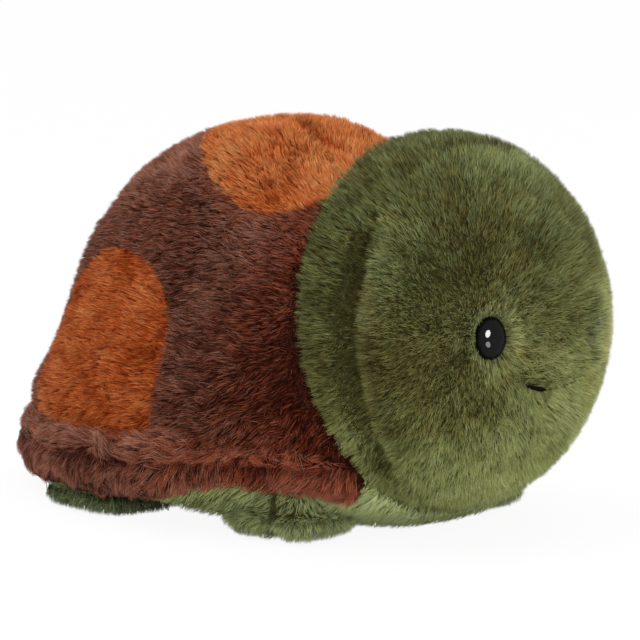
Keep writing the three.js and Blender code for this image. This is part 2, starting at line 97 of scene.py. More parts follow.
RIM_SEAM_HEIGHT = 0.031
RIM_THICKNESS = 0.024
RIM_TALL = 0.034
RIM_PROUD = 0.0075
RIM_HEIGHT = 0.030
RIM_FRONT_RISE = 0.005
RIM_TIP_FALL = 0.003
RIM_TIP_SLIM_SHARE = 0.25
RIM_TIP_ROUND_SHARE = 0.998
RIM_REAR_FALL = 0.007
RIM_SAG = 0.0042
RIM_FRONT_LIFT = 0.0038
RIM_LIFT_AHEAD = (0.005, 0.085)
RIM_TIP = 0.0003
RIM_FRONT_PART_SHARE = 0.22
RIM_UNDER = np.radians(-125)
RIM_OVER = np.radians(100)
FOLD_BELOW = 0.0035
FOLD_AHEAD = 0.05
FOLD_OVER = 0.008

# Feet

FOOT_LENGTH = 0.066
FOOT_WIDTH = 0.052
FOOT_HEIGHT = 0.034
FOOT_TAPER = (FOOT_HEIGHT / 9, FOOT_HEIGHT / 3)
SOLE_CUT = 0.0005
FRONT_FOOT = {"behind_head": 0.0375, "aside": 0.052, "taper": 0.22, "squareness": 2.8, "puff": 0.0007}
REAR_FOOT = {"behind_head": 0.138, "aside": 0.067, "taper": 0.46, "squareness": 3.3, "puff": 0.0012}
LEFT_FOOT_TUCK = 0.003
DIMPLE = {"ahead": 0.010, "width": 0.003, "depth": 0.0030, "aside": (0.062, 0.008)}
SKIN_IN_BODY = 0.002
PILE_IN_BODY = 0.001
FOOT_PILE_ABOVE = 0.0002

# Eyes and the fur beside them

FACE_ASIDE = 0.005
EYE_WIDTH = 0.014
EYE_TALL = 0.018
EYE_DOME = 0.0055
EYE_DOME_POWER = 0.92
EYE_DOME_STEPS = 22
EYE_EDGE = 0.0012
EYE_EDGE_LOW = 0.0004
EYE_BEVEL = 0.0005
EYE_SEGMENTS = 72
EYE_ASIDE = 0.0336
EYE_HEIGHT = 0.0928
EYE_SINK = 0.0075
EYE_STEM_RADIUS = 0.0025
EYE_STEM_LENGTH = 0.013
EYE_STEM_FILLET = 0.0002
POLE_RADIUS = 1e-5
SOCKET_DIP = 0.0050
SOCKET_REACH = (0.0005, 0.0050)
FUR_DIP = 0.0060
FUR_REACH = (0.0002, 0.0042)
FUR_RING_RISE = 0.0008
FUR_RING_GAP = 0.0044
FUR_RING_WIDTH = 0.0019
FUR_RIDGE_RISE = 0.0048
FUR_RIDGE_FILL = 0.0045
FUR_RIDGE_FADE = 0.006
FUR_TRIM = {"share": 0.5, "reach": 0.005, "beside": 0.03, "clear": 0.01}
EYE_CLEAR = 0.0011
EYE_PULL = {"left": 0.5, "right": 2.4, "reach": 0.005}

# Mouth and closing thread

MOUTH_WIDTH = 0.0356
MOUTH_HEIGHT = 0.0693
MOUTH_RISE = 0.0025
MOUTH_CORNER_RISE = 0.0006
MOUTH_CORNER_SHARES = (0.5, 0.5)
MOUTH_THREAD = 0.0018
MOUTH_RADIUS_SHARE = 0.44
MOUTH_SINK = 0.0030
MOUTH_SINK_SHARES = (-0.68, 0.5)
MOUTH_CLEAR = 0.0003
MOUTH_CORNER_CLEAR = 0.0012
MOUTH_CLEAR_SHARES = (-0.55, 0.3)
MOUTH_PARTING = {"pull": 1.5, "reach": 0.003}
MOUTH_TURNS = 9
MOUTH_BLUNTNESS = 9
CLOSING_BEHIND_HEAD = 0.070
CLOSING_LENGTH = 0.050
CLOSING_THREAD = 0.0012
CLOSING_STITCHES = 8
CLOSING_RISE = 0.0025
CLOSING_PARTING = 0.0012
STITCH_RISE = 0.0012
STITCH_SWAY = 0.0004
CLOSING_TURNS = 30
CLOSING_BLUNTNESS = 24
THREAD_STATIONS = 160
THREAD_SIDES = 24
PLIES = 3
PLY_DEPTH_SHARE = 0.16
THREAD_TIP_SHARE = 0.0004
THREAD_ASKEW = (0.3, 0, 1.0)
MERGE_DISTANCE = 2e-6

# Skins and fillings: grids are (rows, columns), spans the part of the surface's first parameter

PILE_DEPTH = 0.0042
BACKING = 0.0008
LIP = 0.016
LIP_SHARES = (0.5, 1)
SKIN_LUMP = 0.0007
FILLING_LUMP = 0.0004
FACE_FILLING_DEPTH = 0.0054
BODY_FILLING_DEPTH = 0.013
FOOT_FILLING_DEPTH = 0.0085
FACE_GRID = (56, 140)
NECK_GRID = (14, 120)
BODY_GRID = (110, 130)
RIM_GRID = (160, 22)
FOOT_GRID = (24, 48)
FACE_FILLING_GRID = (36, 90)
BODY_FILLING_GRID = (48, 72)
FOOT_FILLING_GRID = (16, 32)
FACE_SPAN = (0.012, 1)
BODY_SPAN = (0.01, 1)
FOOT_SPAN = (0.02, 0.9)
FOOT_PILE_SPAN = (0.05, 0.95)
RIM_PILE_SPAN = (0.003, 0.997)
SNAP_SHARE = 0.55
SNAP_SLOPE = 0.05

# Numbers of the working

SLIVER = 1e-6
ZERO_GUARD = 1e-12
SEAM_ROUNDS = 4
PROFILE_STEPS = 400
SURFACE_STEP = 2e-3
RIM_STEP = 1e-3
SLOPE_STEP = 1e-4
SKIN_POLE_SHARE = 0.004
FILLING_POLE_SHARE = 0.01
SIGN_PLACES = (np.linspace(0.1, 0.9, 9), np.linspace(0.05, 0.95, 12))
SIGN_SWELL = 0.001
AREA_STEPS = 80
PEAK_PERCENTILE = 99.5
UPWARDS = np.array([0, 0, 1.0])

HEAD_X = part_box("head_cover")[1][0] - HEAD_DEPTH / 2
HEAD_Z = CHIN_HEIGHT + HEAD_HEIGHT / 2
HEAD_CENTRE = np.array([HEAD_X, 0, HEAD_Z])
SHELL_X = HEAD_X - SHELL_BEHIND_HEAD
NECK_STEP = SHELL_BEHIND_HEAD + NECK_BACK

# Noise, as layers of (amount, size of its lumps, seed)

LUMP_LAYERS = ((1, 0.034, 5), (0.5, 0.015, 6))
SHELL_SWELL = ((0.0011, 0.045, 15), (0.0006, 0.02, 16))
FOOT_SWELL = ((0.0006, 0.014, 75),)
RIM_SWELL = ((0.0012, 0.02, 66),)
FOLD_WAVER = ((0.002, 0.03, 63),)
FACE_MOTTLE = ((0.15, 0.020, 21), (0.1, 0.007, 22))
FACE_BROWN_MOTTLE = ((0.2, 0.016, 23),)
NECK_MOTTLE = ((0.16, 0.012, 31),)
SHELL_MOTTLE = ((0.22, 0.020, 41), (0.14, 0.006, 42))
SHELL_RED_MOTTLE = ((0.15, 0.02, 43),)
SPOT_MOTTLE = ((0.20, 0.014, 51), (0.20, 0.005, 52))
SPOT_RED_MOTTLE = ((0.3, 0.012, 53),)
SPOT_DARK_MOTTLE = ((0.12, 0.008, 54),)
RIM_MOTTLE = ((0.18, 0.013, 64), (0.12, 0.005, 65))
BELLY_MOTTLE = ((0.12, 0.012, 71),)
FOOT_MOTTLE = ((0.16, 0.011, 72),)
RIM_FAN = {"amount": 0.8, "size": 0.022, "seed": 61}

# The pile's tone, 0 dark to 1 light. A grade is (amount, start, length) and a line (amount, width)

FACE_TONE = 0.52
# Painted shade along the crease between the face and the neck band
FACE_CREASE_PAINTED_SHADE = (0.25, 0.003)
FACE_TOP_GRADE = (0.10, 0, 0.05)
FACE_LEFT_GRADE = (0.05, 0, 0.03)
# The first two, on the chin and low on the head, are painted light from below; the other three lighten the
# pile beside the eyes
FACE_LIGHTS = (
    (0.20, (0.055, 0.015, -0.040), 0.026), (0.20, (0.030, -0.020, -0.065), 0.028),
    (0.16, (0.040, 0.052, 0.0), 0.026), (0.25, (0.052, 0.050, 0.004), 0.010),
    (0.12, (0.056, -0.044, 0.004), 0.012),
)
FACE_DARKS = (
    (1, (0.040, -0.062, -0.010), 0.019), (1, (0.045, 0.068, -0.006), 0.016),
    (0.4, (0.060, -0.030, -0.022), 0.011), (0.5, (0.052, -0.022, 0.042), 0.024),
)
FACE_DARKS_TONE = 0.20
# Painted light on the ring of fur round each eye's socket
EYE_RING_GAP = 0.0025
EYE_RING_PAINTED_LIGHT = (0.26, 0.005)
# Painted shade in the mouth's parting, strongest at its right end and gone a little past its middle
MOUTH_PAINTED_SHADE = (0.5, 0.0008)
MOUTH_PAINTED_SHADE_SHARES = (-0.1, 0.4)
NECK_TONE = 0.24
# Painted light from below on the low part of the neck band
NECK_LOW_PAINTED_LIGHT = (0.35, 0.005, 0.04)
# Painted shade along the same crease, on the neck band's side
NECK_CREASE_PAINTED_SHADE = (0.22, 0.004)
SHELL_TONE = 0.47
# Painted shade on the shell beside the neck, under the head, and painted light from above on its crown
SHELL_NECK_PAINTED_SHADE = (0.20, -0.045, 0.04)
SHELL_CROWN_PAINTED_LIGHT = (0.14, 0.11, 0.04)
SPOT_TONE = 0.50
# Painted light from above on the crown's spot
SPOT_CROWN_PAINTED_LIGHT = (0.4, 0.125, 0.03)
# Painted shade in the crease along the spine
SPINE_PAINTED_SHADE = 0.35
RIM_TONE = 0.64
RIM_NECK_GRADE = (0.04, -0.075, 0.06)
# Painted shade in the rim's fold
RIM_FOLD_PAINTED_SHADE = (0.45, 0.0025)
RIM_PINCH_LINE = (0.0018, 0.003)
BELLY_TONE = 0.52
# Painted light on the chest, in the shade under the head
CHEST_PAINTED_LIGHT = 0.48
CHEST_PAINTED_LIGHT_AHEAD = (-0.06, 0.04)
FOOT_TONE = 0.92
# Painted shade in the front feet's dimples, and on the rear feet under the rim
DIMPLE_PAINTED_SHADE = 0.44
REAR_FOOT_PAINTED_SHADE = 0.44
TUFT_TONE = 0.14

# The shares of the four tints of each pile

FACE_BROWN = {"base": 0.16, "chin": 0.2, "chin_below": -0.04, "darks": 0.4, "least": 0.03, "most": 0.7}
# Bluer towards the top and yellower low down: painted light, cool from above and warm from below
FACE_TOP_PAINTED_COOL_LIGHT = (0.4, 0, 0.08)
FACE_YELLOW = 0.1
FACE_LOW_PAINTED_WARM_LIGHT = (0.35, 0, 0.06)
FACE_TINTED_MOST = 0.95
BROWN_RED_MOST = 0.9
SHELL_RED = 0.12
SHELL_RED_GRADE = (0.55, -0.06, 0.05)
SHELL_GREY_GRADE = (0.3, -0.06, 0.05)
SHELL_WARM = 0.1
SHELL_WARM_GRADE = (0.15, -0.07, 0.04)
RIM_RED = 0.15
RIM_RED_GRADE = (0.55, -0.10, 0.07)
RIM_LOW_RED_GRADE = (0.15, -0.024, 0.014)
RIM_GREY_GRADE = (0.25, -0.10, 0.07)
RIM_WARM = 0.15
SPOT_RED = {"base": 0.25, "least": 0.02, "most": 0.7, "high": 0.5}
# The crown's painted light from above also makes the spot yellower and less red from this height up
SPOT_CROWN_PAINTED_LIGHT_RAMP = (0.13, 0.03)
SPOT_YELLOW = 0.1
SPOT_CROWN_PAINTED_YELLOW = 0.12
SPOT_DARK_MOST = 0.2
BELLY_TINT = (0.74, 0.02, 0.12, 0.12)
FRONT_FOOT_TINT = (0.45, 0.05, 0.2, 0.3)
# The rear feet's bluer tint, with no yellow, is part of their painted shade under the rim
REAR_FOOT_PAINTED_SHADE_TINT = (0.35, 0.05, 0.6, 0.0)

# The pile's coats: strands for each square millimetre, lengths in metres, leans in degrees

Coat = namedtuple("Coat", "seed density length lean width tuft pull relief speckle stirred")
FACE_COAT = Coat(100, 3.6, 0.0066, 24, 0.00032, 0.0028, 0.20, 0.0006, 0.24, 0.45)
NECK_COAT = Coat(200, 3.3, 0.0066, 26, 0.00032, 0.0044, 0.22, 0.0009, 0.24, 0.45)
SHELL_COAT = Coat(300, 2.45, 0.0054, 30, 0.00038, 0.0034, 0.26, 0.0006, 0.32, 1.3)
SPOT_COAT = Coat(400, 2.5, 0.0052, 26, 0.00038, 0.0036, 0.30, 0.0006, 0.30, 1.6)
BELLY_COAT = Coat(500, 0.9, 0.0075, 46, 0.00055, 0.0040, 0.16, 0.0006, 0.24, 0.45)
RIM_COAT = Coat(600, 2.15, 0.0084, 46, 0.00044, 0.0060, 0.31, 0.0011, 0.28, 0.9)
FOOT_COAT = Coat(700, 2.1, 0.0058, 30, 0.00038, 0.0036, 0.18, 0.0006, 0.24, 0.45)
SQUARE_MM_PER_SQUARE_METRE = 1e6
PILE_SHARE = 1.0
SHELL_PILE_ABOVE_SEAM = 0.006
STIR_SIZE = 0.006
STRAY = 0.25
LEAN_WAVE = {"degrees": 9, "size": 0.009}
LEAN_SPREAD = 7
LEAN_MOST = np.radians(84)
LIFT_SPREAD = 0.00025
LENGTH_SHARES = (0.8, 1.2)
WIDTH_SHARES = (0.7, 1.3)
ROOT_PULL_SHARE = 0.5
SHELL_WAY = (-1.0, 0, -0.55)
TAIL_WAY = (-1.0, 0, 0)
FOOT_WAY = (-0.2, 0, -1.0)
FOOT_WAY_OUT = 0.2
RIM_WAY_ABOVE = np.array([-0.9, 0, -0.25])
RIM_WAY_BELOW = np.array([-0.25, 0, -1.0])
RIM_WAY_OUT = 0.4

# Strands

CLASSES = 4
STRANDS_PER_PIECE = 47000
STRAND_CLEARANCE = 0.0003
STRAND_FACES = np.array([[2, 1, 0], [0, 1, 3], [1, 2, 3], [2, 0, 3]])
STRAND_SHADE_ALONG = 0.25
STRAND_SHADE_ROUND = 0.35
STRAND_MAP_ALONG = np.array([0.05, 0.05, 0.08, 0.95])
STRAND_MAP_ASIDE = np.array([-1, 1, 0, 0]) * 0.004
TONE_ENDS = (0.01, 0.99)

# Colours: tones are (place, colour) from dark to light, and tints multiply them

GREEN_TONES = [
    (0.0, (0.050, 0.038, 0.010)), (0.25, (0.150, 0.142, 0.043)), (0.5, (0.30, 0.338, 0.112)),
    (0.75, (0.46, 0.525, 0.20)), (1.0, (0.72, 0.80, 0.37)),
]
GREEN_TINTS = [(1.0, 1.0, 1.0), (1.15, 0.86, 0.70), (0.82, 1.0, 1.30), (1.06, 1.03, 0.8)]
BROWN_TONES = [
    (0.0, (0.034, 0.009, 0.004)), (0.25, (0.115, 0.030, 0.014)), (0.5, (0.255, 0.080, 0.045)),
    (0.75, (0.41, 0.155, 0.096)), (1.0, (0.62, 0.31, 0.21)),
]
BROWN_TINTS = [(1.0, 1.0, 1.0), (1.2, 0.68, 0.5), (0.92, 1.08, 1.2), (1.25, 0.95, 0.75)]
ORANGE_TONES = [
    (0.0, (0.25, 0.028, 0.003)), (0.25, (0.48, 0.072, 0.009)), (0.5, (0.72, 0.145, 0.026)),
    (0.75, (0.90, 0.228, 0.056)), (1.0, (0.97, 0.38, 0.13)),
]
ORANGE_TINTS = [(1.0, 1.0, 1.0), (0.92, 0.7, 0.6), (1.0, 1.15, 1.2), (0.72, 0.60, 0.55)]
# The two numbers after a pile's tints are how light its strands are at the root and near halfway up:
# painted shade deep in the pile
PILES = {
    "green_pile": (GREEN_TONES, GREEN_TINTS, 0.14, 0.42),
    "brown_pile": (BROWN_TONES, BROWN_TINTS, 0.16, 0.46),
    "orange_pile": (ORANGE_TONES, ORANGE_TINTS, 0.26, 0.58),
    # A lighter copy of the green pile with lighter roots: painted light on the belly and chest in the shade
    # under the toy
    "belly_green_painted_light": (GREEN_TONES, GREEN_TINTS, 0.72, 0.95),
}
BACKINGS = {
    "green_backing": ((0.024, 0.021, 0.007), (0.06, 0.058, 0.020)),
    # Lighter than the green backing: painted light on the belly in the shade under the toy
    "belly_backing": ((0.07, 0.08, 0.025), (0.13, 0.15, 0.05)),
    "brown_backing": ((0.016, 0.005, 0.003), (0.045, 0.014, 0.009)),
    "orange_backing": ((0.14, 0.022, 0.005), (0.28, 0.05, 0.012)),
}
THREADS = {
    "mouth_thread": ((0.002, 0.002, 0.002), (0.010, 0.009, 0.010)),
    "closing_thread": ((0.06, 0.08, 0.03), (0.14, 0.18, 0.07)),
}
EYE_BLACK = (0.004, 0.004, 0.004, 1)
EYE_IOR = 1.2
WHITE = (1, 1, 1, 1)

# Camera and light. Places are metres towards the camera, to its right and up

AZIMUTH = np.radians(46.5)
ELEVATION = np.radians(8.0)
DISTANCE = 1.6
PIXELS_PER_METRE = 2360
FRAME_PIXELS = 640
HEAD_PIXEL = (440, 321)
SENSOR = 36.0
FARTHEST = 50
TOY_MIDDLE = np.array([0, 0, 0.09])
Lamp = namedtuple("Lamp", "name towards right up size power")
LAMPS = (Lamp("key", 0.7, -0.3, 1.6, 1.2, 12), Lamp("fill", 1.2, 0.9, 0.1, 0.9, 5))
Glint = namedtuple("Glint", "name right up towards reach wide tall power")
EYE_GLINTS = (
    Glint("eye_glint", 0.308, 0.034, 0.951, 1.2, 0.56, 0.44, 62),
    Glint("eye_glint_low", 0.308, -0.461, 0.832, 0.15, 0.065, 0.045, 0.19),
)
FLOOR_COLOUR = (0.93, 0.93, 0.93, 1)
FLOOR_ROUGHNESS = 0.9
FLOOR_WHITE_SHARE = 0.93
FLOOR_HALF = 6.0
WORLD_STRENGTH = 0.90

# A hash's whole numbers

HASH_AXES = (73856093, 19349663, 83492791)
HASH_SEED = 2654435761
HASH_MASK = 0xFFFFFFFF
HASH_ROUNDS = ((15, 0x2C1B3C6D), (12, 0x297A2D39))
HASH_LAST_SHIFT = 15
HASH_RANGE = 1000003


# Helpers on arrays


def hashed(cells, seed):
    """A repeatable number from 0 to 1 for each whole-number cell (n, 3)."""
    mixed = cells[..., 0] * HASH_AXES[0] ^ cells[..., 1] * HASH_AXES[1] ^ cells[..., 2] * HASH_AXES[2]
    mixed = (mixed ^ (seed * HASH_SEED)) & HASH_MASK
    for shift, factor in HASH_ROUNDS:
        mixed = ((mixed >> shift) ^ mixed) * factor & HASH_MASK
    return ((mixed >> HASH_LAST_SHIFT) ^ mixed) % HASH_RANGE / HASH_RANGE


def noise(points, size, seed):
    """Smooth noise from -1 to 1 over points, its lumps about size across."""
    scaled = points / size
    cell = np.floor(scaled).astype(np.int64)
    part = scaled - cell
    part = part * part * (3 - 2 * part)
    total = 0
    for corner in np.ndindex(2, 2, 2):
        corner = np.array(corner)
        weight = np.prod(np.where(corner, part, 1 - part), -1)
        total = total + weight * hashed(cell + corner, seed)
    return total * 2 - 1


def mottle(points, layers):
    """Layers of noise added up."""
    return sum(amount * noise(points, size, seed) for amount, size, seed in layers)


def noise_ways(points, size, seed):
    """Three noises side by side, as a way in space for each point."""
    return np.stack([noise(points, size, seed + axis) for axis in range(3)], -1)


def tufts(points, size, seed):
    """For each point, the nearest of a jittered lattice of tuft centres, and that tuft's number."""
    cell = np.floor(points / size).astype(np.int64)
    nearest = np.full(len(points), np.inf)
    centre = np.zeros_like(points)
    number = np.zeros(len(points))
    for step in np.ndindex(3, 3, 3):
        other = cell + np.array(step) - 1
        jitter = np.stack([hashed(other, seed + axis) for axis in range(3)], -1)
        place = (other + jitter) * size
        distance = np.sum((place - points) ** 2, -1)
        closer = distance < nearest
        nearest = np.where(closer, distance, nearest)
        centre[closer] = place[closer]
        number[closer] = hashed(other[closer], seed + 3)
    return centre, number


def ramp(value, start, length):
    """0 up to a start, 1 from a length past it, and straight between."""
    return np.clip((value - start) / length, 0, 1)


def ease(value, start, length):
    """A ramp with smooth ends."""
    held = ramp(value, start, length)
    return held * held * (3 - 2 * held)


def graded(value, grade):
    """A grade's amount, coming in along its ramp."""
    amount, start, length = grade
    return amount * ramp(value, start, length)


def lined(distance, line):
    """A line's amount, fading out with the distance over its width as a bell curve."""
    amount, width = line
    return amount * np.exp(-((distance / width) ** 2))


def blobs(points, places):
    """Soft balls of (amount, centre, spread) added up, each a bell curve."""
    total = 0
    for amount, centre, spread in places:
        total = total + amount * np.exp(-np.sum((points - centre) ** 2, -1) / (2 * spread**2))
    return total


def unit(vectors):
    return vectors / np.maximum(np.linalg.norm(vectors, axis=-1, keepdims=True), ZERO_GUARD)


def along_skin(vectors, normals):
    """Vectors less their part along the normals."""
    return vectors - normals * np.sum(vectors * normals, -1, keepdims=True)


# Surfaces: each gives points for two parameters from 0 to 1 and a margin outside the pile's tips


def crease_fade(height):
    """1 along the head's sides, where the crease is deep, and 0 on its top and under it."""
    return (1 - ease(height, *CREASE_TOP_SHARES)) * (1 - ease(-height, *CREASE_LOW_SHARES))


def head_at(along, turn, margin):
    """The head: an ellipse ring of turn at a distance ahead of the centre, drawn in at the crease."""
    ring = np.sqrt(np.clip(1 - (along / (HEAD_DEPTH / 2)) ** 2, 0, 1))
    height = np.sin(turn)
    hollow = np.clip(1 - ((along - NECK_FRONT) / CREASE_WIDTH) ** 2, 0, 1) ** 2
    drawn = CREASE_DEPTH * hollow * crease_fade(height)
    x = HEAD_X + along * (1 + 2 * margin / HEAD_DEPTH)
    y = ((HEAD_WIDTH / 2 + margin) * ring - drawn) * np.cos(turn)
    z = HEAD_Z + ((HEAD_HEIGHT / 2 + margin) * ring - drawn) * height
    return np.stack([x, y, z], -1)


def face_surface(u, v, margin=0.0):
    """The face: u from the pole at the nose to the crease, v once round."""
    widest = np.arccos(NECK_FRONT / (HEAD_DEPTH / 2))
    return head_at(HEAD_DEPTH / 2 * np.cos(widest * u), 2 * np.pi * v, margin)


def seam_along(z):
    """How far ahead of the head's centre the leaning neck seam lies at a height."""
    return NECK_BACK - (z - HEAD_Z) * np.tan(NECK_LEAN) + LOW_SEAM_SHIFT * ease(HEAD_Z - z, *LOW_SEAM_BELOW)


def neck_surface(u, v, margin=0.0):
    """The neck band: u from the crease back to the leaning seam with the shell, v once round."""
    turn = 2 * np.pi * v
    along = np.full(np.shape(u), NECK_BACK)
    for _ in range(SEAM_ROUNDS):
        z = head_at(along, turn, margin)[..., 2]
        along = seam_along(z)
    return head_at(NECK_FRONT + (along - NECK_FRONT) * u, turn, margin)


def flank_share(height, fade):
    """How far the dome's flank is flattened at a share of its height."""
    return 1 - fade * FLANK_FLAT_SHARE * np.sin(np.pi * height) ** 2


def section_sizes(along, margin=0.0):
    """The body's half width, waist, rise above it, drop below it and flatness at a place along it."""
    front = np.clip(along / NECK_STEP, 0, None)
    waist = WAIST_HEIGHT + (HEAD_Z - WAIST_HEIGHT) * ease(front, 0, 1)
    crown = SHELL_HEIGHT - (SHELL_HEIGHT - SHELL_FRONT_HEIGHT) * ease(front, 0, NAPE_SHARE)
    width = SHELL_HALF_WIDTH - (SHELL_HALF_WIDTH - SHELL_FRONT_HALF_WIDTH) * front**2
    heights = np.linspace(0, 1, PROFILE_STEPS)
    reaches = (1 - heights**2) ** DOME_ROUND_SHARE * flank_share(heights, 1)
    reach = np.clip(-along / (SHELL_REAR_REACH + margin), 0, 1)
    height = np.interp(-reach, -reaches, heights)
    rise = (crown - waist + margin) * height
    drop = (waist - BELLY_CLEARANCE + margin) * height**REAR_BELLY_SHARE
    half_width = (width + margin) * np.sqrt(1 - reach**2)
    return half_width, waist, rise, drop, np.clip(1 - front, 0, 1)


def body_at(along, turn, margin):
    """The body: an upper arch on a waist line and a squarer belly below it, at a place along it.

    Next to the neck seam the section is rounded in by a quarter circle of the tuck's radius.
    """
    half_width, waist, rise, drop, fade = section_sizes(along, margin)
    side, height = np.cos(turn), np.sin(turn)
    share = 2 / (BELLY_SQUARENESS + BELLY_BULGE * fade)
    upper = height >= 0
    y_low = np.sign(side) * np.abs(side) ** share
    y = half_width * np.where(upper, side * flank_share(np.abs(height), fade), y_low)
    z_off = np.where(upper, rise * height, -drop * np.abs(height) ** share)
    gap = SHELL_BEHIND_HEAD + seam_along(waist + z_off) - along
    near = np.clip(1 - gap / TUCK, 0, 1)
    kept = 1 - TUCK * (1 - np.sqrt(1 - near**2)) / np.maximum(np.hypot(y, z_off), TUCK)
    return np.stack([SHELL_X + along, y * kept, waist + z_off * kept], -1)


def body_surface(u, v, margin=0.0):
    """The body: u from the rear pole to the leaning neck seam, v once round."""
    turn = 2 * np.pi * v
    rear = ramp(u, 0, REAR_PART_SHARE)
    front = ramp(u, REAR_PART_SHARE, 1 - REAR_PART_SHARE)
    height = np.sin(np.pi / 2 * rear)
    reach = (1 - height**2) ** DOME_ROUND_SHARE * flank_share(height, 1)
    back = -(SHELL_REAR_REACH + margin) * reach
    end = np.full(np.shape(u), NECK_STEP)
    for _ in range(SEAM_ROUNDS):
        z = body_at(end, turn, margin)[..., 2]
        end = SHELL_BEHIND_HEAD + seam_along(z)
    return body_at(np.where(u < REAR_PART_SHARE, back, end * front), turn, margin)


def depth_in_body(points):
    """How far inside the body's flank each point lies: positive inside."""
    half_width, waist, rise, drop, fade = section_sizes(points[..., 0] - SHELL_X)
    above = (points[..., 2] - waist) / np.maximum(rise, SLIVER)
    below = (waist - points[..., 2]) / np.maximum(drop, SLIVER)
    high = np.sqrt(np.clip(1 - above**2, 0, 1)) * flank_share(np.clip(above, 0, 1), fade)
    low = np.clip(1 - np.clip(below, 0, None) ** BELLY_SQUARENESS, 0, 1) ** (1 / BELLY_SQUARENESS)
    reach = half_width * np.where(above > 0, high, low)
    return reach - np.abs(points[..., 1])


def belly_side(along, z):
    """The body's half width at a place along it and a height below its waist."""
    half_width, waist, _, drop, _ = section_sizes(along)
    below = np.clip((waist - z) / drop, 0, 1)
    return half_width * (1 - below**BELLY_SQUARENESS) ** (1 / BELLY_SQUARENESS)


def behind_neck(points):
    """True where a point lies behind the leaning neck seam."""
    return points[..., 0] < HEAD_X + seam_along(points[..., 2])


def rim_line(u):
    """The rim's middle line, u from the right neck seam round the rear to the left, and its fullness.

    It runs beside the belly to the widest place, then on a half ellipse round the rear.
    """
    inset = RIM_PROUD - RIM_THICKNESS / 2
    part = RIM_FRONT_PART_SHARE
    front_reach = SHELL_BEHIND_HEAD + seam_along(RIM_HEIGHT)
    ahead = np.clip(1 - np.minimum(u, 1 - u) / part, 0, 1) * front_reach
    share = ahead / (NECK_STEP + NECK_OVERLAP)
    bearing = np.pi * ramp(u, part, 1 - 2 * part)
    rise = RIM_FRONT_RISE * np.sin(np.pi * share) - RIM_TIP_FALL * share**2
    z = RIM_HEIGHT + rise - RIM_REAR_FALL * np.sin(bearing) - RIM_SAG * np.sin(bearing) ** 0.5
    side = np.where(u < 0.5, -1, 1)
    front_y = side * (belly_side(ahead, z) + inset)
    rear_y = -(belly_side(0 * u, RIM_HEIGHT + 0 * u) + inset) * np.cos(bearing)
    x = SHELL_X + ahead - (SHELL_REAR_REACH + inset) * np.sin(bearing)
    y = np.where(share > 0, front_y, rear_y)
    tip = np.clip(1 - (front_reach - ahead) / RIM_THICKNESS * 2, 0, 1)
    slim = 1 - RIM_TIP_SLIM_SHARE * ease(share, 0, 1)
    return np.stack([x, y, z], -1), slim * np.sqrt(1 - tip**2 * RIM_TIP_ROUND_SHARE)


def rim_surface(u, v, margin=0.0):
    """The rim's roll: an oval carried along its line, v from under it, round outside, to its top."""
    centre, fullness = rim_line(u)
    way = rim_line(np.clip(u + RIM_STEP, 0, 1))[0] - rim_line(np.clip(u - RIM_STEP, 0, 1))[0]
    outward = unit(np.cross(UPWARDS, way))
    angle = (RIM_UNDER + (RIM_OVER - RIM_UNDER) * v)[..., None]
    wide = np.maximum(RIM_THICKNESS / 2 * fullness + margin, RIM_TIP)[..., None]
    tall = np.maximum(RIM_TALL / 2 * fullness + margin, RIM_TIP)
    ahead = np.sin(np.pi * ramp(centre[..., 0] - SHELL_X, *RIM_LIFT_AHEAD))
    lift = RIM_FRONT_LIFT * ahead * fullness * (angle[..., 0] < 0)
    tall = np.maximum(tall - lift, RIM_TIP)[..., None]
    return centre + outward * wide * np.cos(angle) + UPWARDS * tall * np.sin(angle)


def foot_surface(foot):
    """A foot: a squared ball, flat below, that narrows upwards, u from under it to its top, v round."""
    centre = np.array([HEAD_X - foot["behind_head"], foot["side"] * foot["aside"], 0])
    share = 2 / foot["squareness"]

    def squared(value):
        return np.sign(value) * np.abs(value) ** share

    def surface(u, v, margin=0.0):
        rise = np.pi * (u - 0.5)
        turn = 2 * np.pi * v
        ring = np.abs(np.cos(rise)) ** share
        x = (FOOT_LENGTH / 2 + margin) * ring * squared(np.cos(turn))
        y = (FOOT_WIDTH / 2 + margin) * ring * squared(np.sin(turn))
        z = FOOT_HEIGHT / 2 - SOLE_CUT + (FOOT_HEIGHT / 2 + margin) * squared(np.sin(rise))
        taper = 1 - foot["taper"] * ease(z, *FOOT_TAPER)
        return centre + np.stack([x * taper, y * taper, np.maximum(z, -margin * (margin < 0))], -1)

    return surface


def feet():
    """The four feet by name, with their places."""
    found = {}
    for end, place in (("front", FRONT_FOOT), ("rear", REAR_FOOT)):
        for side, name in ((-1, "right"), (1, "left")):
            found[f"foot_{end}_{name}"] = {**place, "side": side}
    found["foot_front_left"]["behind_head"] += LEFT_FOOT_TUCK
    found["foot_front_left"]["aside"] -= LEFT_FOOT_TUCK
    return found


# Seam lines on the body's skin: below 0 on their inner side


def top_spot_edge(points):
    """Below 0 inside the oval spot on the crown, in plan."""
    x = points[..., 0] - (HEAD_X - TOP_SPOT["behind_head"])
    oval = np.sqrt((x / TOP_SPOT["half_length"]) ** 2 + (points[..., 1] / TOP_SPOT["half_width"]) ** 2)
    return np.where(points[..., 2] > CROWN_ABOVE, (oval - 1) * TOP_SPOT["half_width"], 1)


def flank_spot_edge(points):
    """Below 0 inside the arch-shaped spot on either flank, seen from the side."""
    x = points[..., 0] - (HEAD_X - FLANK_SPOT["behind_head"])
    z = points[..., 2] - FLANK_SPOT["shoulder"]
    tall = FLANK_SPOT["top"] - FLANK_SPOT["shoulder"]
    arch = np.sqrt((x / FLANK_SPOT["half_length"]) ** 2 + (np.clip(z, 0, None) / tall) ** 2)
    return (arch - 1) * tall


def rim_seam_edge(points):
    """Below 0 under the seam between the shell and the belly."""
    return points[..., 2] - RIM_SEAM_HEIGHT


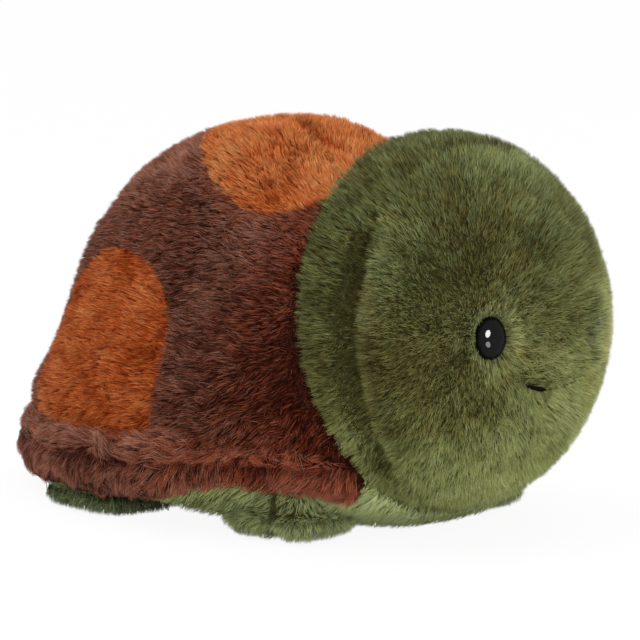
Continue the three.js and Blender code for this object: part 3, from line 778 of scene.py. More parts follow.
# Spaces round the eyes and the mouth


def eye_frame(side):
    """An eye's place on the head and its axes: across, up and out."""
    offset = np.array([0, FACE_ASIDE + side * EYE_ASIDE, EYE_HEIGHT - HEAD_Z])
    halves = np.array([HEAD_DEPTH, HEAD_WIDTH, HEAD_HEIGHT]) / 2
    offset[0] = halves[0] * np.sqrt(1 - (offset[1] / halves[1]) ** 2 - (offset[2] / halves[2]) ** 2)
    out = unit(offset / halves**2)
    across = unit(np.cross(UPWARDS, out))
    up = np.cross(out, across)
    return HEAD_CENTRE + offset, np.stack([across, up, out])


def eye_space(points):
    """How far outside the nearer eye's oval each point lies, and the way out from that eye."""
    best = np.full(len(points), np.inf)
    away = np.zeros_like(points)
    for side in (-1, 1):
        place, axes = eye_frame(side)
        local = (points - place) @ axes.T
        oval = np.sqrt((local[:, 0] / (EYE_WIDTH / 2)) ** 2 + (local[:, 1] / (EYE_TALL / 2)) ** 2)
        gap = (oval - 1) * EYE_WIDTH / 2 + np.clip(np.abs(local[:, 2]) - EYE_WIDTH, 0, None)
        closer = gap < best
        best = np.where(closer, gap, best)
        outward = local[:, :1] * axes[0] + local[:, 1:2] * axes[1]
        away[closer] = unit(outward)[closer]
    return best, away


def mouth_path(share):
    """The mouth's line for shares from -1, its right end, to 1: a smile that sinks into the pile."""
    y = FACE_ASIDE + share * MOUTH_WIDTH / 2
    z = MOUTH_HEIGHT + MOUTH_RISE * share**2 + MOUTH_CORNER_RISE * ease(-share, *MOUTH_CORNER_SHARES)
    sunk = MOUTH_THREAD / 4 + MOUTH_SINK * ease(share, *MOUTH_SINK_SHARES)
    ring = np.sqrt(1 - (y / (HEAD_WIDTH / 2)) ** 2 - ((z - HEAD_Z) / (HEAD_HEIGHT / 2)) ** 2)
    return np.stack([HEAD_X + HEAD_DEPTH / 2 * ring - sunk, y, z], -1)


def mouth_space(points):
    """How far from the mouth's line each point lies, whether above it, and its share along it."""
    share = np.clip((points[:, 1] - FACE_ASIDE) / (MOUTH_WIDTH / 2), -1, 1)
    off = points - mouth_path(share)
    gap = np.where(points[:, 0] > HEAD_X, np.hypot(off[:, 1], off[:, 2]), 1)
    return gap, np.sign(off[:, 2]), share


# Rises and dips of the skins and of the pile's tips


def lumps(points, normals, amount):
    """A stuffed surface's soft lumps: points moved along their normals by broad noise."""
    return points + normals * (amount * mottle(points, LUMP_LAYERS))[..., None]


def level(points):
    """No rise or dip."""
    return np.zeros(len(points))


def socket_rise(points):
    """The face skin's dip round each eye, where the washer behind it draws it in."""
    gap, _ = eye_space(points)
    return -SOCKET_DIP * (1 - ease(gap, *SOCKET_REACH))


def face_rise(points):
    """The fur's dip beside each eye, the ring round that, and the ridge before the left eye."""
    gap, _ = eye_space(points)
    left = points[:, 1] > FACE_ASIDE
    ridge = left * ease(FACE_ASIDE + EYE_ASIDE - points[:, 1], 0, FUR_RIDGE_FADE)
    ring = np.exp(-(((gap - FUR_RING_GAP) / FUR_RING_WIDTH) ** 2))
    ring *= FUR_RING_RISE + FUR_RIDGE_RISE * ridge
    dip = FUR_DIP - FUR_RIDGE_FILL * ridge
    return ring - dip * (1 - ease(gap, *FUR_REACH))


def spine_valley(points):
    """0 to 1 in the shallow crease along the crown's spine."""
    x = points[:, 0] - HEAD_X
    across = np.exp(-(((points[:, 1] - SPINE["aside"]) / SPINE["width"]) ** 2))
    along = ease(x, SPINE["back"], SPINE["fade"]) * ease(-x, -SPINE["front"], SPINE["fade"])
    return across * along * (points[:, 2] > WAIST_HEIGHT)


def shell_rise(points):
    """The shell's larger lumps and the crease along its spine."""
    return mottle(points, SHELL_SWELL) - SPINE["depth"] * spine_valley(points)


def belly_rise(points):
    """How far the belly hangs below its sewn form, most between and ahead of the front feet."""
    amount = np.interp(points[:, 0] - HEAD_X, BELLY_SAG_PLACES, BELLY_SAGS)
    return amount * ease(RIM_SEAM_HEIGHT - points[:, 2], *BELLY_SAG_BELOW_SEAM)


def foot_dimple(points):
    """0 to 1 in the upright dimple in each front foot's outer side."""
    x = points[:, 0] - (HEAD_X - FRONT_FOOT["behind_head"] + DIMPLE["ahead"])
    return np.exp(-((x / DIMPLE["width"]) ** 2)) * ease(np.abs(points[:, 1]), *DIMPLE["aside"])


def foot_rise(points):
    """A foot's puffed pile, drawn in at the dimple."""
    puff = np.where(points[:, 0] < SHELL_X, REAR_FOOT["puff"], FRONT_FOOT["puff"])
    return puff + mottle(points, FOOT_SWELL) - DIMPLE["depth"] * foot_dimple(points)


def rim_below_fold(points):
    """How far below the rim's fold line each point lies."""
    ahead = ramp(points[:, 0] - SHELL_X, 0, FOLD_AHEAD)
    behind = ramp(SHELL_X - points[:, 0], 0, SHELL_REAR_REACH)
    fold = RIM_HEIGHT - FOLD_BELOW + RIM_FRONT_RISE * ahead - RIM_REAR_FALL * behind**2
    return fold + mottle(points * [1, 1, 0], FOLD_WAVER) - points[:, 2]


def rim_rise(points):
    """The rim pinched in a little along its fold, and puffed in lumps elsewhere."""
    return mottle(points, RIM_SWELL) - lined(rim_below_fold(points), RIM_PINCH_LINE)


# Meshes


def new_piece(name, points, faces, material, body):
    """A smooth mesh object at the origin from points and faces, riding on a body."""
    mesh = bpy.data.meshes.new(name)
    faces = np.asarray(faces, np.int32)
    mesh.vertices.add(len(points))
    mesh.vertices.foreach_set("co", np.asarray(points, np.float32).ravel())
    mesh.loops.add(faces.size)
    mesh.loops.foreach_set("vertex_index", faces.ravel())
    mesh.polygons.add(len(faces))
    mesh.polygons.foreach_set("loop_start", np.arange(0, faces.size, faces.shape[1], dtype=np.int32))
    mesh.polygons.foreach_set("use_smooth", np.full(len(faces), True))
    mesh.update()
    mesh.materials.append(material)
    obj = bpy.data.objects.new(name, mesh)
    bpy.context.collection.objects.link(obj)
    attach(obj, body)
    return obj


def grid_faces(rows, columns, closed):
    """Quads over a grid of rows and columns, the columns joined round if closed."""
    row, column = np.meshgrid(np.arange(rows - 1), np.arange(columns - (not closed)), indexing="ij")
    after = (column + 1) % columns
    quads = [row * columns + column, row * columns + after]
    quads += [(row + 1) * columns + after, (row + 1) * columns + column]
    return np.stack(quads, -1).reshape(-1, 4)


def normals_of(surface, u, v, margin=0.0):
    """Normals and areas of a surface, from the cross product of small steps in both parameters."""
    u_low, u_high = np.clip(u - SURFACE_STEP, 0, 1), np.clip(u + SURFACE_STEP, 0, 1)
    along = surface(u_high, v, margin) - surface(u_low, v, margin)
    along = along / (u_high - u_low)[..., None]
    v_low, v_high = np.clip(v - SURFACE_STEP, 0, 1), np.clip(v + SURFACE_STEP, 0, 1)
    around = surface(u, v_high, margin) - surface(u, v_low, margin)
    around = around / (v_high - v_low)[..., None]
    cross = np.cross(along, around)
    return unit(cross), np.linalg.norm(cross, axis=-1)


def outward_sign(surface):
    """1 where a surface's parameters turn its normals outwards, else -1."""
    u, v = (places.ravel() for places in np.meshgrid(*SIGN_PLACES))
    moved = surface(u, v, SIGN_SWELL) - surface(u, v)
    return 1 if np.mean(np.sum(moved * normals_of(surface, u, v)[0], -1)) > 0 else -1


def face_areas(points, faces):
    """The areas of quads, as half the cross product of their diagonals."""
    corners = points[faces]
    cross = np.cross(corners[:, 2] - corners[:, 0], corners[:, 3] - corners[:, 1])
    return 0.5 * np.linalg.norm(cross, axis=-1)


def with_lips(points, normals, rows, columns, lips):
    """Turns a grid's first or last ring (-1 or 1 in lips) in towards its middle, as a sewn edge."""
    grid = points.reshape(rows, columns, 3)
    facing = normals.reshape(rows, columns, 3)
    for end in lips:
        ring = grid[0] if end < 0 else grid[-1]
        inward = unit(ring.mean(0) - ring)
        added = [ring + inward * LIP * share for share in LIP_SHARES]
        sides = [facing[0] if end < 0 else facing[-1]] * len(added)
        grid = np.concatenate([added[::-1], grid] if end < 0 else [grid, added])
        facing = np.concatenate([sides, facing] if end < 0 else [facing, sides])
    return grid.reshape(-1, 3), facing.reshape(-1, 3), len(grid)


def onto_seam(points, normals, edge, cell):
    """Points within about half a cell of a seam, slid along the surface onto it."""
    base = edge(points)
    moved = [(edge(points + SLOPE_STEP * axis) - base) / SLOPE_STEP for axis in np.eye(3)]
    slope = along_skin(np.stack(moved, -1), normals)
    size = np.sum(slope**2, -1)
    near = (np.abs(base) < SNAP_SHARE * cell * np.sqrt(size)) & (size > SNAP_SLOPE)
    move = np.where(near, -base / np.maximum(size, SLIVER), 0)
    return points + slope * move[:, None]


def skin(name, surface, material, body, replaced, shape, closed=True, edges=(), span=(0, 1),
         clear=None, lips=(), rise=level):
    """A skin: a grid over the surface at the pile's roots, snapped to seam lines, with a backing.

    Each edge is (function below 0 inside, side kept), and a face belongs to the side that the
    middle of its corners lies on. The backing's thickness goes inwards and closes the skin.
    """
    rows, columns = shape
    us = np.linspace(span[0], span[1], rows)
    vs = np.linspace(0, 1, columns, endpoint=not closed)
    u, v = (places.ravel() for places in np.meshgrid(us, vs, indexing="ij"))
    points = surface(u, v, -PILE_DEPTH)
    sign = outward_sign(surface)
    inner = np.clip(u, SKIN_POLE_SHARE, 1 - SKIN_POLE_SHARE)
    normals = normals_of(surface, inner, v, -PILE_DEPTH)[0] * sign
    points = lumps(points, normals, SKIN_LUMP) + normals * rise(points)[:, None]
    points, normals, rows = with_lips(points, normals, rows, columns, lips)
    faces = grid_faces(rows, columns, closed)[:, ::sign]
    cell = np.sqrt(np.median(face_areas(points, faces)))
    for edge, side in edges:
        points = onto_seam(points, normals, edge, cell)
        faces = faces[edge(points)[faces].mean(-1) * side > 0]
    if clear is not None:
        faces = faces[clear(points[faces].mean(1))]
    used, faces = np.unique(faces, return_inverse=True)
    obj = new_piece(name, points[used], faces.reshape(-1, 4), material, body)
    backing = obj.modifiers.new("backing", "SOLIDIFY")
    backing.thickness = BACKING
    backing.offset = -1
    backing.use_even_offset = False
    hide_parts(*replaced)


def filling(name, surface, body, replaced, shape, depth, rise=level):
    """A closed lumpy form of fibre a depth inside a surface, its two ends drawn to points."""
    rows, columns = shape
    us = np.linspace(FILLING_POLE_SHARE, 1, rows)
    vs = np.linspace(0, 1, columns, endpoint=False)
    u, v = (places.ravel() for places in np.meshgrid(us, vs, indexing="ij"))
    sign = outward_sign(surface)
    inner = np.clip(u, FILLING_POLE_SHARE, 1 - FILLING_POLE_SHARE)
    normals = normals_of(surface, inner, v, -depth)[0] * sign
    points = surface(u, v, -depth)
    points = lumps(points, normals, FILLING_LUMP) + normals * rise(points)[:, None]
    grid = points.reshape(rows, columns, 3)
    points = np.concatenate([points, [grid[0].mean(0), grid[-1].mean(0)]])
    faces = grid_faces(rows, columns, True)
    column = np.arange(columns)
    after = (column + 1) % columns
    start, end = rows * columns, rows * columns + 1
    last = (rows - 1) * columns
    caps = [
        np.stack([np.full(columns, start), after, column], -1),
        np.stack([np.full(columns, end), last + column, last + after], -1),
    ]
    triangles = np.concatenate([faces[:, [0, 1, 2]], faces[:, [0, 2, 3]], *caps])[:, ::sign]
    obj = new_piece(name, points, triangles, finish["fibre_fill"], body)
    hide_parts(*replaced)


# Pile


def scatter(surface, density, seed, keep, span):
    """Points strewn evenly over a surface where keep is true, with their normals."""
    random = np.random.default_rng(seed)
    u, v = np.meshgrid(np.linspace(*span, AREA_STEPS), np.linspace(0, 1, AREA_STEPS))
    sizes = normals_of(surface, u.ravel(), v.ravel())[1]
    peak = np.percentile(sizes, PEAK_PERCENTILE)
    tries = int(density * peak * (span[1] - span[0]))
    u = random.uniform(*span, tries)
    v = random.uniform(0, 1, tries)
    normals, sizes = normals_of(surface, u, v)
    kept = random.uniform(0, peak, tries) < sizes
    points = surface(u[kept], v[kept])
    normals = normals[kept] * outward_sign(surface)
    inside = keep(points)
    return points[inside], normals[inside]


def strand_mesh(name, roots, tips, normals, widths, classes, tones, material, body):
    """Strands as closed three-sided spikes, in pieces of at most STRANDS_PER_PIECE.

    A spike has a base of three corners and a tip. Its shading normals lean towards the skin's,
    and its OFBake map holds its colour class, its place along, and its tone.
    """
    count = len(roots)
    random = np.random.default_rng(count)
    axis = unit(tips - roots)
    first = unit(np.cross(axis, normals) + 1e-9)
    second = np.cross(axis, first)
    angle = random.uniform(0, 2 * np.pi, count)[:, None] + np.arange(3) * 2 * np.pi / 3
    radial = np.cos(angle)[..., None] * first[:, None] + np.sin(angle)[..., None] * second[:, None]
    corners = np.maximum(roots, [-np.inf, -np.inf, STRAND_CLEARANCE])[:, None]
    corners = corners + radial * (widths * 0.5)[:, None, None]
    points = np.concatenate([corners, tips[:, None]], 1)
    soft = unit(normals + STRAND_SHADE_ALONG * axis)
    shade = np.concatenate([unit(soft[:, None] + STRAND_SHADE_ROUND * radial), soft[:, None]], 1)
    map_u = (classes[:, None] + STRAND_MAP_ALONG) / CLASSES
    map_v = np.clip(tones, *TONE_ENDS)[:, None] + STRAND_MAP_ASIDE
    pieces = int(np.ceil(count / STRANDS_PER_PIECE))
    for number in range(pieces):
        part = slice(number, None, pieces)
        here = points[part].reshape(-1, 3)
        faces = (np.arange(len(points[part])) * 4)[:, None, None] + STRAND_FACES
        faces = faces.reshape(-1, 3)
        mesh = new_piece(f"{name}_{number + 1}", here, faces, material, body).data
        maps = mesh.uv_layers.new(name="OFBake")
        both = np.stack([map_u[part].ravel(), map_v[part].ravel()], -1)
        maps.uv.foreach_set("vector", both[faces.ravel()].astype(np.float32).ravel())
        custom = mesh.attributes.new("custom_normal", "FLOAT_VECTOR", "POINT")
        custom.data.foreach_set("vector", shade[part].astype(np.float32).ravel())
        mesh.update()


def coat(name, sizes, surface, body, material, keep, comb, tone, tint, span=(0, 1), rise=level,
         trim=level):
    """A coat of pile: strands strewn over a surface, combed, and drawn together into tufts.

    comb gives the way the tips lie at each point, and the lean is how far they lie over. Each tip
    is drawn to the middle of its tuft by the pull. tone gives 0 to 1 from dark to light, and tint
    the shares of the four colour classes.
    """
    seed = sizes.seed
    density = sizes.density * (SQUARE_MM_PER_SQUARE_METRE * PILE_SHARE)
    points, normals = scatter(surface, density, seed, keep, span)
    random = np.random.default_rng(seed + 50)
    count = len(points)
    away = comb(points, normals) + sizes.stirred * noise_ways(points, STIR_SIZE, seed)
    away = along_skin(away + STRAY * random.normal(size=(count, 3)), normals)
    wave = LEAN_WAVE["degrees"] * noise(points, LEAN_WAVE["size"], seed + 7)
    tilt = np.radians(sizes.lean + wave + random.normal(0, LEAN_SPREAD, count))
    tilt = np.clip(tilt, 0, LEAN_MOST)[:, None]
    lie = normals * np.cos(tilt) + unit(away) * np.sin(tilt)
    centre, number = tufts(points, sizes.tuft, seed + 11)
    drawn = along_skin(centre - points, normals) * sizes.pull
    lift = sizes.relief * (2 * number - 1) + random.normal(0, LIFT_SPREAD, count) + rise(points)
    tips = lumps(points, normals, SKIN_LUMP) + drawn + normals * lift[:, None]
    longs = (sizes.length * random.uniform(*LENGTH_SHARES, count) * (1 - trim(points)))[:, None]
    roots = tips - drawn * ROOT_PULL_SHARE - lie * longs
    tips[:, 2] = np.maximum(tips[:, 2], STRAND_CLEARANCE)
    widths = sizes.width * random.uniform(*WIDTH_SHARES, count)
    light = tone(points) + TUFT_TONE * (number - 0.5) + random.normal(0, sizes.speckle, count)
    shares = np.cumsum(tint(points), -1)
    classes = np.sum(random.uniform(size=count)[:, None] > shares[:, :-1], -1)
    strand_mesh(name, roots, tips, normals, widths, classes, light, finish[material], body)


def combed(way, out=0):
    """Pile combed one way all over, and out from the skin by a share."""
    return lambda points, normals: np.array(way) + normals * out


def face_comb(points, normals):
    """Pile combed towards the tail, away from each eye, and up and down from the mouth."""
    gap, away = eye_space(points)
    pull = np.where(points[:, 1] > FACE_ASIDE, EYE_PULL["left"], EYE_PULL["right"])
    pull = pull * np.exp(-np.clip(gap, 0, None) / EYE_PULL["reach"])
    gap, above, _ = mouth_space(points)
    parted = above * MOUTH_PARTING["pull"] * np.exp(-gap / MOUTH_PARTING["reach"])
    return np.array(TAIL_WAY) + away * pull[:, None] + UPWARDS * parted[:, None]


def rim_comb(points, normals):
    """Long pile that lies back along the rim above its fold, and hangs down below it."""
    low = ease(rim_below_fold(points), -FOLD_OVER / 2, FOLD_OVER)[:, None]
    fan = noise_ways(points, RIM_FAN["size"], RIM_FAN["seed"]) * RIM_FAN["amount"]
    return RIM_WAY_ABOVE * (1 - low) + RIM_WAY_BELOW * low + normals * RIM_WAY_OUT * low + fan


def face_trim(points):
    """The share that the fur is shorter by beside the eyes."""
    gap, _ = eye_space(points)
    beside = np.abs(points[:, 1] - FACE_ASIDE - FUR_TRIM["beside"]) > FUR_TRIM["clear"]
    return FUR_TRIM["share"] * (1 - ease(gap, 0, FUR_TRIM["reach"])) * beside


def face_keep(points):
    """False over the eyes and in the parting of the mouth, wider at its right end."""
    eye_gap, _ = eye_space(points)
    gap, _, share = mouth_space(points)
    clear = MOUTH_CLEAR + MOUTH_CORNER_CLEAR * (1 - ease(share, *MOUTH_CLEAR_SHARES))
    return (eye_gap > EYE_CLEAR) & (gap > clear)


def shell_keep(points):
    """True on the shell's skin and its spots, a little above the seam under the rim."""
    return rim_seam_edge(points) > SHELL_PILE_ABOVE_SEAM


def spots_keep(points):
    """True inside the crown's spot and the flanks' spots."""
    return (top_spot_edge(points) < 0) | (flank_spot_edge(points) < 0)


def belly_keep(points):
    """True on the belly, but not in the narrow parting along the closing thread."""
    x = points[:, 0] - (HEAD_X - CLOSING_BEHIND_HEAD)
    near = (np.abs(x) < CLOSING_LENGTH / 2) & (points[:, 2] < WAIST_HEIGHT / 2)
    return (rim_seam_edge(points) < 0) & ~(near & (np.abs(points[:, 1]) < CLOSING_PARTING))


def face_tone(points):
    """Lighter under and beside the eyes, darker at the top, left and dark patches, with painted light low
    on the face and round each eye, and painted shade in the crease and along the mouth.
    """
    rel = points - HEAD_CENTRE
    light = FACE_TONE + mottle(points, FACE_MOTTLE) + blobs(rel, FACE_LIGHTS)
    # Painted shade in the crease
    light -= crease_fade(rel[:, 2] / (HEAD_HEIGHT / 2)) * lined(rel[:, 0] - NECK_FRONT, FACE_CREASE_PAINTED_SHADE)
    light -= graded(rel[:, 2], FACE_TOP_GRADE) + graded(rel[:, 1], FACE_LEFT_GRADE)
    light -= FACE_DARKS_TONE * blobs(rel, FACE_DARKS)
    gap, _ = eye_space(points)
    # Painted light on the ring round each eye
    light += lined(gap - EYE_RING_GAP, EYE_RING_PAINTED_LIGHT)
    # Painted shade along the mouth's parting
    gap, _, share = mouth_space(points)
    return light - lined(gap, MOUTH_PAINTED_SHADE) * (1 - ease(share, *MOUTH_PAINTED_SHADE_SHARES))


def face_tint(points):
    """Brown roots by the cheeks and over the brow, bluer towards the top and yellower below, painted light:
    cool from above and warm from below.
    """
    rel = points - HEAD_CENTRE
    brown = FACE_BROWN["base"] + mottle(points, FACE_BROWN_MOTTLE)
    brown -= FACE_BROWN["chin"] * (rel[:, 2] < FACE_BROWN["chin_below"])
    brown += FACE_BROWN["darks"] * blobs(rel, FACE_DARKS)
    brown = np.clip(brown, FACE_BROWN["least"], FACE_BROWN["most"])
    # Painted light: cool from above and warm from below
    blue = graded(rel[:, 2], FACE_TOP_PAINTED_COOL_LIGHT)
    yellow = graded(-rel[:, 2], FACE_LOW_PAINTED_WARM_LIGHT) + FACE_YELLOW
    plain = 1 - np.clip(brown + blue + yellow, 0, FACE_TINTED_MOST)
    return np.stack([plain, brown, blue, yellow], -1)


def neck_tone(points):
    """Lighter low down, painted light from below, and darker in the crease, painted shade."""
    rel = points - HEAD_CENTRE
    # Painted shade in the crease
    crease = lined(rel[:, 0] - NECK_FRONT, NECK_CREASE_PAINTED_SHADE) * crease_fade(rel[:, 2] / (HEAD_HEIGHT / 2))
    return NECK_TONE + mottle(points, NECK_MOTTLE) + graded(-rel[:, 2], NECK_LOW_PAINTED_LIGHT) - crease


def shell_tone(points):
    """Darker beside the neck, painted shade under the head, and lighter on the crown, painted light from
    above.
    """
    light = SHELL_TONE + mottle(points, SHELL_MOTTLE) + graded(points[:, 2], SHELL_CROWN_PAINTED_LIGHT)
    return light - graded(points[:, 0] - HEAD_X, SHELL_NECK_PAINTED_SHADE)


def brown_tint(red, grey, warm):
    """The shares of plain, red, grey and warm brown, the warm one less where red is more."""
    red = np.clip(red, 0, BROWN_RED_MOST)
    warm = warm * (1 - red)
    return np.stack([1 - np.clip(red + grey + warm, 0, 1), red, grey, warm], -1)


def shell_tint(points):
    """Redder beside the neck, greyer behind it, and warmer low down."""
    ahead = points[:, 0] - HEAD_X
    red = SHELL_RED + graded(ahead, SHELL_RED_GRADE) + mottle(points, SHELL_RED_MOTTLE)
    grey = SHELL_GREY_GRADE[0] - graded(ahead, SHELL_GREY_GRADE)
    return brown_tint(red, grey, SHELL_WARM + graded(-points[:, 2], SHELL_WARM_GRADE))


def spot_tone(points):
    """Lighter on the crown, painted light from above, and darker in the spine's crease, painted shade."""
    light = SPOT_TONE + mottle(points, SPOT_MOTTLE) + graded(points[:, 2], SPOT_CROWN_PAINTED_LIGHT)
    # Painted shade in the spine's crease
    return light - SPINE_PAINTED_SHADE * spine_valley(points)


def spot_tint(points):
    """Patches of redder and darker orange, and yellower and less red on the crown, painted light from
    above.
    """
    red = SPOT_RED["base"] + mottle(points, SPOT_RED_MOTTLE)
    red = np.clip(red, SPOT_RED["least"], SPOT_RED["most"])
    # Painted light from above: yellower and less red on the crown
    high = ramp(points[:, 2], *SPOT_CROWN_PAINTED_LIGHT_RAMP)
    yellow = SPOT_YELLOW + SPOT_CROWN_PAINTED_YELLOW * high
    dark = np.clip(mottle(points, SPOT_DARK_MOTTLE), 0, SPOT_DARK_MOST)
    plain = 1 - np.clip(red + yellow + dark, 0, 1)
    return np.stack([plain, red * (1 - high * SPOT_RED["high"]), yellow, dark], -1)


def rim_tone(points):
    """Darker in the fold, painted shade, and a little lighter beside the neck."""
    light = RIM_TONE + mottle(points, RIM_MOTTLE) + graded(points[:, 0] - HEAD_X, RIM_NECK_GRADE)
    # Painted shade in the fold
    return light - lined(rim_below_fold(points), RIM_FOLD_PAINTED_SHADE)


def rim_tint(points):
    """Redder beside the neck and low down, and greyer towards the rear."""
    ahead = points[:, 0] - HEAD_X
    red = RIM_RED + graded(ahead, RIM_RED_GRADE) + graded(-points[:, 2], RIM_LOW_RED_GRADE)
    return brown_tint(red, RIM_GREY_GRADE[0] - graded(ahead, RIM_GREY_GRADE), RIM_WARM)


def belly_tone(points):
    """Lighter towards the chest, painted light in the shade under the head."""
    chest = CHEST_PAINTED_LIGHT * ease(points[:, 0] - HEAD_X, *CHEST_PAINTED_LIGHT_AHEAD)
    return BELLY_TONE + chest + mottle(points, BELLY_MOTTLE)


def belly_tint(points):
    return np.tile(BELLY_TINT, (len(points), 1))


def foot_tone(points):
    """Darker in the dimple and on the rear feet, painted shade in the dimple and under the rim."""
    rear = points[:, 0] < SHELL_X
    light = FOOT_TONE + mottle(points, FOOT_MOTTLE) - DIMPLE_PAINTED_SHADE * foot_dimple(points)
    return light - REAR_FOOT_PAINTED_SHADE * rear


def foot_tint(points):
    # Bluer on the rear feet: painted shade under the rim
    return np.where((points[:, 0] < SHELL_X)[:, None], REAR_FOOT_PAINTED_SHADE_TINT, FRONT_FOOT_TINT)


# Materials


def new_material(name):
    material = bpy.data.materials.new(name)
    material.use_nodes = True
    nodes = material.node_tree.nodes
    return material, nodes, material.node_tree.links, nodes["Principled BSDF"]


def ramp_node(nodes, stops, interpolation="LINEAR"):
    """A colour ramp with the stops (place, colour)."""
    node = nodes.new("ShaderNodeValToRGB")
    node.color_ramp.interpolation = interpolation
    elements = node.color_ramp.elements
    while len(elements) < len(stops):
        elements.new(0.5)
    for element, (place, colour) in zip(elements, stops):
        element.position = place
        element.color = (*colour, 1)
    return node


def math_node(nodes, links, operation, *values):
    node = nodes.new("ShaderNodeMath")
    node.operation = operation
    for socket, value in zip(node.inputs, values):
        if isinstance(value, (int, float)):
            socket.default_value = value
        else:
            links.new(value, socket)
    return node.outputs[0]


def multiplied(nodes, links, first, second):
    node = nodes.new("ShaderNodeMix")
    node.data_type = "RGBA"
    node.blend_type = "MULTIPLY"
    node.inputs["Factor"].default_value = 1
    links.new(first, node.inputs["A"])
    links.new(second, node.inputs["B"])
    return node.outputs["Result"]


def pile_material(name, tones, tints, root, waist):
    """Plush pile: tone picks the colour, class its tint, and strands are darker at their roots, painted
    shade deep in the pile.
    """
    material, nodes, links, shader = new_material(name)
    place = nodes.new("ShaderNodeUVMap")
    place.uv_map = "OFBake"
    parts = nodes.new("ShaderNodeSeparateXYZ")
    links.new(place.outputs["UV"], parts.inputs[0])
    base = ramp_node(nodes, tones)
    links.new(parts.outputs["Y"], base.inputs["Fac"])
    tint = ramp_node(nodes, [(k / CLASSES, c) for k, c in enumerate(tints)], "CONSTANT")
    links.new(parts.outputs["X"], tint.inputs["Fac"])
    spread = math_node(nodes, links, "MULTIPLY", parts.outputs["X"], float(CLASSES))
    along = math_node(nodes, links, "FRACT", spread)
    # Darker towards the root: painted shade deep in the pile
    depth = ramp_node(nodes, [(0.0, (root,) * 3), (0.45, (waist,) * 3), (0.95, (1.0,) * 3)])
    links.new(along, depth.inputs["Fac"])
    colour = multiplied(nodes, links, base.outputs["Color"], tint.outputs["Color"])
    colour = multiplied(nodes, links, colour, depth.outputs["Color"])
    links.new(colour, shader.inputs["Base Color"])
    shader.inputs["Roughness"].default_value = 0.85
    shader.inputs["Specular IOR Level"].default_value = 0.0
    shader.inputs["Sheen Weight"].default_value = 0.03
    shader.inputs["Sheen Roughness"].default_value = 0.5
    return material


def grain_nodes(nodes, links, scale, stops, detail=2.0, distortion=0.0):
    """Noise over the object's own coordinates, and the colours that its stops give."""
    place = nodes.new("ShaderNodeTexCoord")
    grain = nodes.new("ShaderNodeTexNoise")
    grain.inputs["Scale"].default_value = scale
    grain.inputs["Detail"].default_value = detail
    grain.inputs["Distortion"].default_value = distortion
    links.new(place.outputs["Object"], grain.inputs["Vector"])
    colours = ramp_node(nodes, stops)
    links.new(grain.outputs["Fac"], colours.inputs["Fac"])
    return grain.outputs["Fac"], colours.outputs["Color"]


def mottled_material(name, roughness, specular, scale, stops, bump=None, **grain_values):
    """Two mottled shades, with a bump of (strength, depth) from the same noise where it has one."""
    material, nodes, links, shader = new_material(name)
    grain, colours = grain_nodes(nodes, links, scale, stops, **grain_values)
    links.new(colours, shader.inputs["Base Color"])
    if bump:
        node = nodes.new("ShaderNodeBump")
        node.inputs["Strength"].default_value = bump[0]
        node.inputs["Distance"].default_value = bump[1]
        links.new(grain, node.inputs["Height"])
        links.new(node.outputs["Normal"], shader.inputs["Normal"])
    shader.inputs["Roughness"].default_value = roughness
    shader.inputs["Specular IOR Level"].default_value = specular
    return material


def backing_material(name, dark, light):
    """The knitted backing under the pile: small uneven speckle of two deep colours, with bump."""
    return mottled_material(name, 0.95, 0.0, 420, [(0.35, dark), (0.7, light)], (0.6, 0.0006), detail=3)


def thread_material(name, dark, light):
    """Twisted thread: fine fuzz of two shades. Its plies are in its mesh."""
    return mottled_material(name, 0.8, 0.0, 1800, [(0.35, dark), (0.7, light)])


def fibre_material():
    """White fibre filling: faint streaks of shade and a woolly bump."""
    stops = [(0.3, (0.7, 0.69, 0.65)), (0.7, (0.88, 0.87, 0.84))]
    return mottled_material("fibre_fill", 1, 0.0, 90, stops, (1.0, 0.002), detail=8, distortion=1.6)


def washer_material():
    """Plain moulded plastic with a slight mottle."""
    stops = [(0.3, (0.64, 0.63, 0.6)), (0.7, (0.74, 0.73, 0.7))]
    return mottled_material("washer_plastic", 0.45, 0.5, 500, stops)


def eye_material():
    """Polished black moulding, with a trace of fine wear in its gloss."""
    material, nodes, links, shader = new_material("eye_black")
    _, gloss = grain_nodes(nodes, links, 900, [(0.3, (0.02,) * 3), (0.75, (0.05,) * 3)])
    links.new(gloss, shader.inputs["Roughness"])
    shader.inputs["Base Color"].default_value = EYE_BLACK
    shader.inputs["IOR"].default_value = EYE_IOR
    return material


def make_finishes():
    """All materials of the toy, by name."""
    made = {name: pile_material(name, *values) for name, values in PILES.items()}
    made.update({name: backing_material(name, *shades) for name, shades in BACKINGS.items()})
    made.update({name: thread_material(name, *shades) for name, shades in THREADS.items()})
    made["fibre_fill"] = fibre_material()
    made["washer_plastic"] = washer_material()
    made["eye_black"] = eye_material()
    return made


# Pieces


